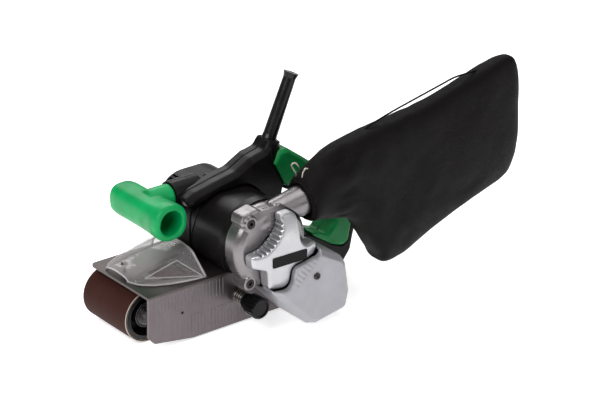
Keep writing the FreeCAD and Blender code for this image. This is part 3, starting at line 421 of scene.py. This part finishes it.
def make_looks():
    """The looks by name: one for each material slot of the record, and four for single pieces."""
    # How the lines of worked metal are drawn out, and the grain of polished plastic.
    along_x, along_y, along_z = (0.04, 1.0, 1.0), (1.0, 0.04, 1.0), (1.0, 1.0, 0.05)
    all_ways, layered = (1.0, 1.0, 1.0), (0.05, 6.0, 0.05)
    broad, faint = 900.0, 0.01 * MM
    return {
        "abrasive_belt": abrasive(),
        "graphite_pad": moulded("graphite", srgb(36, 36, 38), srgb(58, 58, 60), 0.5),
        "sheet_steel": brushed("sheet_steel", srgb(96, 89, 91), srgb(111, 103, 106), 0.36, along_z),
        "plate_steel": brushed("plate_steel", srgb(76, 71, 70), srgb(90, 84, 83), 0.38, along_y),
        "cast_alloy": cast("cast_alloy", srgb(122, 118, 120), srgb(136, 132, 134), 0.3, 0.9),
        # grime_and_shade sets how far the painted shade and grime reach into a casting's hollows.
        "light_alloy": cast("light_alloy", srgb(176, 176, 179), srgb(188, 188, 191), 0.33, 0.75,
                            grime_and_shade=4 * MM),
        "cover_paint": cast("cover_paint", srgb(148, 147, 152), srgb(158, 157, 163), 0.42, 0.5,
                            grime_and_shade=2.5 * MM),
        "frame_alloy": cast("frame_alloy", srgb(96, 94, 95), srgb(128, 125, 126), 0.48),
        "black_plastic": moulded("black_plastic", srgb(10, 8, 9), srgb(18, 15, 17), 0.36,
                                 shine_level=0.14),
        "green_plastic": moulded("green_plastic", srgb(0, 138, 74), srgb(0, 156, 86), 0.36,
                                 scuff=srgb(20, 186, 118), shine_level=0.22),
        "green_rubber": moulded("green_rubber", srgb(0, 112, 54), srgb(0, 134, 68), 0.42, 1900.0,
                                0.06 * MM, scuff=srgb(30, 150, 96), shine_level=0.25),
        "black_rubber": moulded("black_rubber", srgb(10, 9, 9), srgb(20, 18, 19), 0.24, 1500.0,
                                shine_level=0.3),
        "roller_rubber": moulded("roller_rubber", srgb(30, 28, 28), srgb(50, 47, 46), 0.7, 1200.0,
                                 0.1 * MM),
        "clear_plastic": clear("clear_plastic", 0.1, 0.55, srgb(176, 170, 172), srgb(196, 190, 192)),
        # Paler and less see-through than the hood: painted highlights on the hood's rim, crease and foot
        # beads.
        "clear_bead_highlight": clear("clear_bead_highlight", 0.5, 0.85, srgb(186, 181, 183), srgb(208, 203, 205)),
        "bag_cloth": woven("bag_cloth", srgb(4, 3, 3), srgb(14, 10, 10)),
        "bearing_steel": brushed("bearing_steel", srgb(84, 80, 80), srgb(124, 120, 121), 0.28, all_ways),
        "shaft_steel": brushed("shaft_steel", srgb(150, 148, 150), srgb(190, 188, 190), 0.25, along_x),
        "laminations": brushed("laminations", srgb(70, 68, 68), srgb(110, 106, 104), 0.45, layered),
        "copper": wound("copper", srgb(150, 78, 44), srgb(206, 128, 84)),
        "carbon": moulded("carbon", srgb(24, 24, 26), srgb(44, 44, 47), 0.6),
        "black_gloss": moulded("black_gloss", srgb(5, 5, 6), srgb(10, 9, 10), 0.3, broad, faint,
                               shine_level=0.12),
        "screw_black": brushed("screw_black", srgb(26, 24, 25), srgb(60, 56, 57), 0.3, all_ways),
        "spring_steel": brushed("spring_steel", srgb(166, 159, 150), srgb(204, 197, 188), 0.24, all_ways),
        "collar_plastic": moulded("collar_plastic", srgb(20, 19, 20), srgb(34, 32, 33), 0.46),
        "spring_dark": brushed("spring_dark", srgb(74, 70, 68), srgb(138, 132, 128), 0.24, all_ways),
        "knob_gloss": moulded("knob_gloss", srgb(5, 5, 6), srgb(12, 11, 12), 0.2, broad, faint,
                              shine_level=0.16),
        "roller_face": cast("roller_face", srgb(16, 15, 15), srgb(30, 28, 29), 0.4, 0.3),
    }


# ---------------------------------------------------------------- mesh helpers

# Points of a CAD mesh that lie closer than this are one point.
WELD = 0.002 * MM


def new_piece(name, mesh, slot, body, look=None):
    """Puts a mesh in the scene with its look, its slot and the body that carries it."""
    piece = bpy.data.objects.new(name, mesh)
    scene.collection.objects.link(piece)
    mesh.materials.clear()
    mesh.materials.append(looks[look or slot].material)
    mesh.shade_smooth()
    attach(piece, body)
    return piece


def mesh_from(name, points, faces):
    """Mesh of these points, in metres, and these faces."""
    mesh = bpy.data.meshes.new(name)
    mesh.from_pydata([tuple(point) for point in points], [], faces)
    mesh.validate()
    mesh.update()
    return mesh


def loft_faces(rings, around, closed=True):
    """Quads between rings of equal point count; closed joins each ring's ends."""
    faces = []
    steps = around if closed else around - 1
    for i in range(rings - 1):
        for j in range(steps):
            k = (j + 1) % around
            faces.append((i * around + j, i * around + k, (i + 1) * around + k, (i + 1) * around + j))
    return faces


def share_of(value, start, width):
    """How much of a stretch lies behind this value, from 0 to 1."""
    return min(1.0, max(0.0, (value - start) / width))


def shares(steps):
    """Evenly spaced shares from 0 to 1, both included."""
    return [i / steps for i in range(steps + 1)]


def evaluated(piece):
    """Mesh of a piece with its modifiers applied."""
    bpy.context.view_layer.update()
    graph = bpy.context.evaluated_depsgraph_get()
    return bpy.data.meshes.new_from_object(piece.evaluated_get(graph))


def soften(node, slot, voxel, rounds, shape=None):
    """Replaces a CAD piece with the same shape whose edges are rounded all over.

    A remesh at the voxel size is smoothed for some rounds. shape, if given, then moves each of
    its points.
    """
    source = frame["nodes"][node]
    mesh = source.data.copy()
    work = bmesh.new()
    work.from_mesh(mesh)
    bmesh.ops.remove_doubles(work, verts=work.verts, dist=WELD)
    work.to_mesh(mesh)
    work.free()
    piece = new_piece(node + "_skin", mesh, slot, source["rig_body"])
    remesh = piece.modifiers.new("remesh", "REMESH")
    remesh.mode = "VOXEL"
    remesh.voxel_size = voxel
    smooth = piece.modifiers.new("smooth", "SMOOTH")
    smooth.factor = 0.5
    smooth.iterations = rounds
    rounded = evaluated(piece)
    if shape:
        for vertex in rounded.vertices:
            vertex.co = shape(vertex.co)
    piece.modifiers.clear()
    piece.data = rounded
    rounded.materials.clear()
    rounded.materials.append(looks[slot].material)
    rounded.shade_smooth()
    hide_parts(node)


def blend(a, b, c, d, t):
    """Smooth curve from b, where t is 0, to c, where t is 1; a and d are the knots beyond them."""
    return 0.5 * (2 * b + (c - a) * t + (2 * a - 5 * b + 4 * c - d) * t * t
                  + (3 * b - a - 3 * c + d) * t ** 3)


def spline_points(points, steps):
    """Smooth line through points: steps samples on each span, ends included."""
    padded = [points[0] * 2 - points[1], *points, points[-1] * 2 - points[-2]]
    made = []
    for i in range(1, len(padded) - 2):
        made += [blend(*padded[i - 1:i + 3], j / steps) for j in range(steps)]
    made.append(points[-1].copy())
    return made


def in_metres(rows):
    """Points given in millimetres, as vectors in metres."""
    return [Vector(row) * MM for row in rows]


def tube_mesh(name, line, radius, around=10):
    """Closed tube along a line; radius may be a function of the share of its length."""
    points = []
    side = Vector((0, 0, 1))
    for i, here in enumerate(line):
        ahead = line[min(i + 1, len(line) - 1)] - line[max(i - 1, 0)]
        ahead.normalize()
        side = (side - ahead * side.dot(ahead)).normalized()
        up = ahead.cross(side)
        size = radius(i / (len(line) - 1)) if callable(radius) else radius
        for j in range(around):
            angle = 2 * math.pi * j / around
            points.append(here + (side * math.cos(angle) + up * math.sin(angle)) * size)
    faces = loft_faces(len(line), around)
    faces.append(tuple(range(around - 1, -1, -1)))
    last = (len(line) - 1) * around
    faces.append(tuple(range(last, last + around)))
    return mesh_from(name, points, faces)


# ---------------------------------------------------------------- dust bag

BAG_LOW, BAG_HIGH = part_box("dust_bag")
BAG_Y = (BAG_LOW.y + BAG_HIGH.y) / 2
BAG_MOUTH = Vector((0.076, BAG_Y, 0.128))
BAG_STATIONS = 96
BAG_AROUND = 72
CLOTH_THICKNESS = 0.8 * MM

# Share by which the bag is thicker below and thinner above, and how far its outline wavers.
BAG_SAG = 0.12
EDGE_RIPPLE = 1.3 * MM

# Where the cloth is gathered: distance from the mouth's centre, and how wide the gathered ring is.
GATHER_REACH = 0.042
GATHER_WIDTH = 0.032

# The cloth lies smooth on the collar up to this distance, and its folds reach full depth over
# this stretch.
COLLAR_REACH = 0.024
COLLAR_FADE = 0.02

# The hem lies at this share of the bag's length.
HEM_SHARE = 0.03
HEM_POINTS = 120
HEM_PLEATS = 17
HEM_PLEAT_DEPTH = 0.03
HEM_RADIUS = 1.7 * MM

# Where the seams start and how far they run, as shares of the bag's length, and how many degrees
# they lie above and below its middle.
SEAM_START = 0.12
SEAM_LENGTH = 0.83
SEAM_STEPS = 160
SEAM_ANGLE = 58
SEAM_RADIUS = 0.75 * MM

# Course of the rod in the top hem, as (x, z) in millimetres.
PIPING_ROUTE = [(150, 181.5), (160, 186.5), (190, 194.5), (223, 201.5), (257, 208.5), (275, 212),
                (296, 212.5), (308, 212.5)]
PIPING_RADIUS = 1.0 * MM

# Top and bottom edge of the bag at each station, as (x, z, x, z) in millimetres, then its half
# thickness in millimetres and how square its section is (2 is an ellipse).
BAG_SECTIONS = [
    (69.6, 145.1, 74.5, 110.2, 17.6, 2.0), (69.9, 148.4, 75.4, 107.0, 21.0, 2.0),
    (72.0, 152.0, 78.6, 104.6, 23.9, 2.0), (77.6, 156.5, 84.2, 104.2, 24.2, 2.0),
    (88, 164.5, 94, 102.5, 22.5, 2.1), (101, 171.5, 112, 99, 20.0, 2.4),
    (122, 178, 136, 89, 19.0, 2.8), (146, 182.5, 151, 67, 19.5, 3.1), (165, 184.5, 161, 51, 20.0, 3.4),
    (180, 186, 168.5, 38.5, 19.8, 3.6), (190, 187.2, 170.5, 34, 19.5, 3.7), (200, 188.7, 175, 32, 19.5, 3.7),
    (212, 190.5, 191, 33.5, 19.2, 3.6), (224, 192.6, 206, 37.5, 19.0, 3.5), (252, 198, 238, 50, 18.5, 3.5),
    (292, 208.5, 284, 66.5, 18.0, 3.5), (322, 216.5, 318, 76.5, 17.0, 3.5), (338, 219.3, 336, 81, 16.0, 3.5),
    (349, 219.3, 346, 86, 14.5, 3.4), (355.5, 214, 352.5, 93, 12.0, 3.3), (359, 202, 356.5, 102, 9.5, 3.0),
    (361, 180, 359.5, 118, 6.0, 2.6), (361.5, 152, 361.2, 136, 3.0, 2.2),
]


def bag_section(share):
    """Top point, bottom point, half thickness and squareness at a share of the length."""
    last = len(BAG_SECTIONS) - 1
    place = share * last
    i = min(int(place), last - 1)
    rows = [BAG_SECTIONS[min(max(k, 0), last)] for k in (i - 1, i, i + 1, i + 2)]
    top_x, top_z, bottom_x, bottom_z, half, square = [blend(*column, place - i) for column in zip(*rows)]
    top = Vector((top_x * MM, BAG_Y, top_z * MM))
    bottom = Vector((bottom_x * MM, BAG_Y, bottom_z * MM))
    return top, bottom, half * MM, square


def creased(angle):
    """Wave with broad tops and narrow valleys, as gathered cloth has, from -1 to 1."""
    return 1 - 2 * (1 - abs(math.sin(angle / 2))) ** 1.6


def bag_fold(point, side):
    """How far the cloth stands out of its smooth shape, in metres; side is -1 near and 1 far."""
    reach = Vector((point.x - BAG_MOUTH.x, 0, point.z - BAG_MOUTH.z))
    away = reach.length
    angle = math.atan2(reach.z, reach.x)
    gather = math.exp(-((away - GATHER_REACH) / GATHER_WIDTH) ** 2)
    wander = noise.noise(Vector((point.x * 30, side * 3.0, point.z * 30)))
    # Tight pleats round the mouth, long folds drawn from it, soft unevenness and fine crumple.
    pleats = creased(angle * 8 + wander * 4.0 + side * 1.3) * gather * 4.2 * MM
    drag = creased(angle * 5 + 1.0 + wander * 2.0) * math.exp(-away / 0.12) * 4.0 * MM
    soft = noise.noise(Vector((point.x * 14, side * 5.0 + 2.0, point.z * 18))) * 3.2 * MM
    fine = noise.noise(Vector((point.x * 46, side * 7.0 + 9.0, point.z * 60))) * 1.1 * MM
    return (pleats + drag + soft + fine) * share_of(away, COLLAR_REACH, COLLAR_FADE)


def bag_point(share, angle):
    """Point of the bag's skin; angle 0 is the near side's middle, 90 degrees the top."""
    top, bottom, half, square = bag_section(share)
    c, s = math.cos(angle), math.sin(angle)
    flat = 2 / square
    out = math.copysign(abs(c) ** flat, c)
    rise = math.copysign(abs(s) ** flat, s)
    belly = half * (1 - BAG_SAG * rise)
    point = (top + bottom) / 2 + (top - bottom) / 2 * rise
    side = -1 if out > 0 else 1
    point.y = BAG_Y - out * belly
    point.y += side * bag_fold(point, side) * abs(out)
    waver = noise.noise(Vector((point.x * 75, point.z * 75, 3.0)))
    ripple = waver * EDGE_RIPPLE * min(1.0, share * 5)
    point += (top - bottom).normalized() * (ripple * rise * abs(rise) ** 4)
    point.x += ripple * share ** 12
    return point


def dust_bag():
    """Sagging fabric shell, gathered at its mouth and closed at its rear end."""
    points = []
    for share in shares(BAG_STATIONS - 1):
        for j in range(BAG_AROUND):
            points.append(bag_point(share, 2 * math.pi * j / BAG_AROUND))
    faces = loft_faces(BAG_STATIONS, BAG_AROUND)
    last = (BAG_STATIONS - 1) * BAG_AROUND
    centre = sum((points[last + j] for j in range(BAG_AROUND)), Vector()) / BAG_AROUND
    points.append(centre)
    for j in range(BAG_AROUND):
        faces.append((last + j, last + (j + 1) % BAG_AROUND, len(points) - 1))
    mesh = mesh_from("dust_bag_cloth", points, faces)
    piece = new_piece("dust_bag_cloth", mesh, "bag_cloth", "dust_bag")
    thick = piece.modifiers.new("cloth", "SOLIDIFY")
    thick.thickness = CLOTH_THICKNESS
    thick.offset = -1.0
    subdivide = piece.modifiers.new("smooth", "SUBSURF")
    subdivide.levels = 1
    subdivide.render_levels = 1
    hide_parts("dust_bag")


def bag_hem():
    """Rolled hem of the mouth, drawn in round the collar with small pleats."""
    top, bottom = bag_section(HEM_SHARE)[:2]
    middle = (top + bottom) / 2
    line = []
    for i in range(HEM_POINTS):
        angle = 2 * math.pi * i / HEM_POINTS
        pleat = 1 + HEM_PLEAT_DEPTH * math.sin(angle * HEM_PLEATS)
        line.append(middle + (bag_point(HEM_SHARE, angle) - middle) * pleat)
    line.append(line[0].copy())
    new_piece("bag_hem", tube_mesh("bag_hem", line, HEM_RADIUS), "bag_cloth", "dust_bag")


def bag_seams():
    """Bound seams along the top and bottom edges of the two side panels."""
    places = [SEAM_START + SEAM_LENGTH * i / SEAM_STEPS for i in range(SEAM_STEPS + 1)]
    for name, degrees in (("near_top", SEAM_ANGLE), ("near_bottom", -SEAM_ANGLE),
                          ("far_top", 180 - SEAM_ANGLE), ("far_bottom", 180 + SEAM_ANGLE)):
        line = [bag_point(place, math.radians(degrees)) for place in places]
        mesh = tube_mesh("bag_seam_" + name, line, SEAM_RADIUS, 8)
        new_piece("bag_seam_" + name, mesh, "bag_cloth", "dust_bag")


def bag_piping():
    """Thin rod in the bag's top hem, which stands clear of the cloth in the middle."""
    knots = [Vector((x * MM, BAG_Y, z * MM)) for x, z in PIPING_ROUTE]
    mesh = tube_mesh("bag_piping", spline_points(knots, 10), PIPING_RADIUS)
    new_piece("bag_piping", mesh, "bag_cloth", "dust_bag")


# ---------------------------------------------------------------- clear hood

HOOD_STATIONS = 60
HOOD_ACROSS = 56
HOOD_WALL = 1.5 * MM
RIM_RADIUS = 1.2 * MM
CREASE_RADIUS = 0.65 * MM
FOOT_RADIUS = 0.9 * MM

# How full the arch is: lower powers make it fuller.
HOOD_SIDE_POWER = 0.12
HOOD_TOP_POWER = 0.8

# Near side, far side and height of the arch at each distance along, over the base it stands on,
# in millimetres.
HOOD_BASE = 62.0
HOOD_SECTIONS = [(-101, -20, 18, 4.5), (-95, -35, 24, 8), (-84, -44, 28, 11.5), (-70, -50.5, 31, 15.5),
                 (-58, -54, 33, 19), (-44, -57, 35, 22), (-32, -58, 36, 24)]

# Corners of the flat face pressed into the hood's near side, and where it ends, in millimetres.
FACET_END_Y = -8
HOOD_FACET = [Vector((-87.4, -30.7, 66.6)), Vector((-50.4, -34.0, 77.2)), Vector((-34.3, -56.6, 63.6))]


def between(rows, place):
    """Values of a table of rows at a place in its first column, by straight steps between rows."""
    for i in range(len(rows) - 1):
        if place <= rows[i + 1][0]:
            break
    share = (place - rows[i][0]) / (rows[i + 1][0] - rows[i][0])
    return [a + (b - a) * share for a, b in zip(rows[i][1:], rows[i + 1][1:])]


def hood_point(along, across):
    """Point of the hood's outer face; both shares run from 0 to 1."""
    x = HOOD_SECTIONS[0][0] + (HOOD_SECTIONS[-1][0] - HOOD_SECTIONS[0][0]) * along
    near, far, height = between(HOOD_SECTIONS, x)
    swing = math.pi * across
    turn = math.cos(swing)
    y = (near + far) / 2 - (far - near) / 2 * turn * abs(turn) ** HOOD_SIDE_POWER
    z = HOOD_BASE + height * math.sin(swing) ** HOOD_TOP_POWER
    a, b, c = HOOD_FACET
    normal = (b - a).cross(c - a).normalized()
    if normal.z < 0:
        normal.negate()
    plane = a.z - (normal.x * (x - a.x) + normal.y * (y - a.y)) / normal.z
    if y < FACET_END_Y:
        z = max(min(z, plane), HOOD_BASE)
    return Vector((x, y, z)) * MM


def clear_bead(name, line, radius):
    """Bead of the hood along a line, in a paler, less see-through look that paints its highlight."""
    new_piece(name, tube_mesh(name, line, radius), "clear_plastic", "body", "clear_bead_highlight")


def clear_hood():
    """Thin clear hood: arched shell with a creased facet, a foot and a bead on its rear rim."""
    points = []
    for along in shares(HOOD_STATIONS - 1):
        points += [hood_point(along, across) for across in shares(HOOD_ACROSS - 1)]
    faces = loft_faces(HOOD_STATIONS, HOOD_ACROSS, False)
    mesh = mesh_from("dust_hood_shell", points, faces)
    shell = new_piece("dust_hood_shell", mesh, "clear_plastic", "body")
    thick = shell.modifiers.new("wall", "SOLIDIFY")
    thick.thickness = HOOD_WALL
    thick.offset = -1.0
    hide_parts("dust_hood")
    clear_bead("dust_hood_rim", [hood_point(1.0, across) for across in shares(40)], RIM_RADIUS)
    for i, corner in enumerate(HOOD_FACET):
        following = HOOD_FACET[(i + 1) % len(HOOD_FACET)]
        crease = [corner.lerp(following, share) * MM for share in shares(12)]
        clear_bead("dust_hood_crease_" + str(i + 1), crease, CREASE_RADIUS)
    foot = [hood_point(1 - along, 0.0) for along in shares(40)]
    foot += [hood_point(0.0, across) for across in shares(12)[1:-1]]
    foot += [hood_point(along, 1.0) for along in shares(40)]
    lift = Vector((0, 0, FOOT_RADIUS))
    clear_bead("dust_hood_foot", [point + lift for point in foot], FOOT_RADIUS)


# ---------------------------------------------------------------- casings and wire

MOTOR_X, MOTOR_Z = 33 * MM, 93 * MM

# The lobed cover's dome: its centre, its flat middle, how wide its slope is and how far it falls.
# It grows from nothing at DOME_START_Y to its full fall at DOME_FULL_Y.
DOME_X, DOME_Z = 28 * MM, 88 * MM
DOME_FLAT = 22 * MM
DOME_SLOPE = 25 * MM
DOME_FALL = 7 * MM
DOME_START_Y = -97 * MM
DOME_FULL_Y = -114 * MM

# The front grip's bar: it is squared from its bore outwards, and less and less over the last
# stretch up to its edge.
GRIP_X, GRIP_Z = -58 * MM, 121.5 * MM
GRIP_BORE_R, BORE_FADE = 14 * MM, 2 * MM
GRIP_EDGE_R, EDGE_FADE = 21 * MM, 3 * MM
GRIP_FLATS = 4
GRIP_FLAT_DEPTH = 0.05

# The lock button's pocket in the near handle half.
BUTTON_X, BUTTON_Z = 122 * MM, 126 * MM
POCKET_R = 5.5 * MM
POCKET_FLOOR_Y = -19.8 * MM

# The ribbed ring behind the fan housing: its near end, its width, its radius and its ribs.
GASKET_Y = -75.2 * MM
GASKET_WIDTH = 10.9 * MM
GASKET_R = 43.4 * MM
GASKET_RIBS = 3
GASKET_RIB_HEIGHT = 0.45 * MM
GASKET_RINGS, GASKET_AROUND = 15, 96

# Course of the casing's joint line, in millimetres.
CASING_SEAM_ROUTE = [(0.4, -15.9, 130.1), (-6.3, -17.6, 125.8), (-12.6, -20, 118.8), (-17, -20.4, 107.6),
                     (-17.5, -14, 90)]
CASING_SEAM_RADIUS = 0.9 * MM

# The outlet pipe: its mouth, how much it leans up, and the taper at its root as distance from the
# mouth and radius, in millimetres.
PIPE_MOUTH = Vector((78, -82, 128.5)) * MM
PIPE_TILT = math.radians(8)
FAIRING_STATIONS = [(-82, 11.0), (-76, 13.2), (-70, 15.0), (-64, 16.6), (-58, 17.2), (-50, 16.4)]
FAIRING_STEPS = 16

# The clip's two wire ends, in millimetres, which come out from under the hem as finger loops.
CLIP_LOOPS = [
    [(72.5, -71, 147), (73.0, -72.0, 152.5), (70.8, -70.5, 157.5), (68.6, -70.0, 162.0),
     (69.4, -71.0, 164.8), (72.0, -72.5, 164.9), (75.0, -73.5, 161.0), (77.0, -73.5, 156.5)],
    [(71.5, -73.5, 147.5), (72.0, -76.0, 146.6), (72.2, -80.5, 147.2), (72.4, -82.4, 151.0),
     (73.0, -83.0, 157.5), (75.0, -84.0, 161.6), (78.6, -84.5, 161.4)],
]
CLIP_WIRE_RADIUS = 0.95 * MM


def domed(point):
    """Lets the lobed cover's face fall back towards its rim, as a dome."""
    reach = math.hypot(point.x - DOME_X, point.z - DOME_Z)
    share = share_of(reach, DOME_FLAT, DOME_SLOPE)
    forward = share_of(DOME_START_Y, point.y, DOME_START_Y - DOME_FULL_Y)
    return Vector((point.x, point.y + DOME_FALL * share ** 1.5 * forward, point.z))


def squared(point):
    """Gives the front grip's round bar soft flats; its bore and stem stay as they are."""
    x, z = point.x - GRIP_X, point.z - GRIP_Z
    reach = math.hypot(x, z)
    share = share_of(reach, GRIP_BORE_R, BORE_FADE) * share_of(GRIP_EDGE_R, reach, EDGE_FADE)
    grow = 1 - GRIP_FLAT_DEPTH * math.cos(GRIP_FLATS * math.atan2(z, x)) * share
    return Vector((GRIP_X + x * grow, point.y, GRIP_Z + z * grow))


def button_room(point):
    """Keeps the lock button's pocket in the near handle half as wide and deep as it was."""
    x, z = point.x - BUTTON_X, point.z - BUTTON_Z
    reach = math.hypot(x, z)
    inward = POCKET_R - reach
    deeper = POCKET_FLOOR_Y - point.y
    if inward <= 0 or deeper <= 0 or reach == 0:
        return point
    if inward < deeper:
        grow = POCKET_R / reach
        return Vector((BUTTON_X + x * grow, point.y, BUTTON_Z + z * grow))
    return Vector((point.x, POCKET_FLOOR_Y, point.z))


def fan_gasket():
    """Black ribbed ring between the fan housing and the motor's barrel."""
    points = []
    for share in shares(GASKET_RINGS - 1):
        y = GASKET_Y + GASKET_WIDTH * share
        radius = GASKET_R + GASKET_RIB_HEIGHT * abs(math.sin(GASKET_RIBS * math.pi * share))
        for j in range(GASKET_AROUND):
            angle = 2 * math.pi * j / GASKET_AROUND
            points.append((MOTOR_X + radius * math.cos(angle), y, MOTOR_Z + radius * math.sin(angle)))
    mesh = mesh_from("fan_gasket", points, loft_faces(GASKET_RINGS, GASKET_AROUND))
    new_piece("fan_gasket", mesh, "black_rubber", "body")


def casing_seam():
    """Raised joint line that curves over the casing's near side."""
    line = spline_points(in_metres(CASING_SEAM_ROUTE), 8)
    mesh = tube_mesh("casing_seam", line, CASING_SEAM_RADIUS)
    new_piece("casing_seam", mesh, "black_plastic", "body")


def outlet_fairing():
    """Cast taper that runs from the fan housing into the outlet pipe."""
    axis = Vector((math.cos(PIPE_TILT), 0, math.sin(PIPE_TILT)))
    start = FAIRING_STATIONS[0][0]
    length = FAIRING_STATIONS[-1][0] - start
    line = [PIPE_MOUTH + axis * (start + length * share) * MM for share in shares(FAIRING_STEPS)]

    def radius(share):
        return between(FAIRING_STATIONS, start + length * share)[0] * MM

    new_piece("outlet_fairing", tube_mesh("outlet_fairing", line, radius, 48), "cast_alloy", "body")


def squashing_spring():
    """Copy of the tension spring, which stands in for its CAD piece."""
    source = frame["nodes"]["tension_spring"]
    piece = new_piece("tension_spring_coil", source.data.copy(), "spring_steel", source["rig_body"])
    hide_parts("tension_spring")
    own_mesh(piece)


def clip_wire():
    """The two finger loops of the bag's clip; its hoop, hidden under the hem, is left out."""
    for i, loop in enumerate(CLIP_LOOPS):
        name = "clip_loop_" + str(i + 1)
        mesh = tube_mesh(name, spline_points(in_metres(loop), 8), CLIP_WIRE_RADIUS)
        piece = new_piece(name, mesh, "spring_steel", "dust_bag")
        if i == 0:
            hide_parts("bag_clip")


# ---------------------------------------------------------------- making

# Pieces whose edges are rounded by a fine remesh: node, slot, voxel size, smoothing rounds and,
# for some, the function that shapes the result.
SOFTENED = [
    ("rear_grip_left", "green_rubber", 1.0 * MM, 6),
    ("rear_grip_right", "green_rubber", 1.0 * MM, 6),
    ("handle_shell_right", "black_plastic", 0.8 * MM, 6),
    ("fan_housing", "cast_alloy", 0.8 * MM, 12),
    ("belt_cover", "cover_paint", 0.8 * MM, 9),
    ("outlet_pipe", "cast_alloy", 0.7 * MM, 12),
    ("handle_shell_left", "black_plastic", 0.8 * MM, 6, button_room),
    ("front_grip", "green_plastic", 1.0 * MM, 6, squared),
    ("pulley_cover", "light_alloy", 0.7 * MM, 14, domed),
]

# Pieces whose look differs from that of their slot.
OWN_LOOKS = [("front_roller", "roller_face"), ("tracking_spring", "spring_dark"),
             ("tracking_knob", "knob_gloss")]

add_camera()
add_studio()
add_floor()
looks = make_looks()
for node in frame["nodes"].values():
    for place in node.material_slots:
        place.material = looks[place.material.name].material

for row in SOFTENED:
    soften(*row)
for name, look in OWN_LOOKS:
    for place in frame["nodes"][name].material_slots:
        place.material = looks[look].material
fan_gasket()
casing_seam()
clear_hood()
outlet_fairing()
clip_wire()
squashing_spring()
dust_bag()
bag_hem()
bag_seams()
bag_piping()
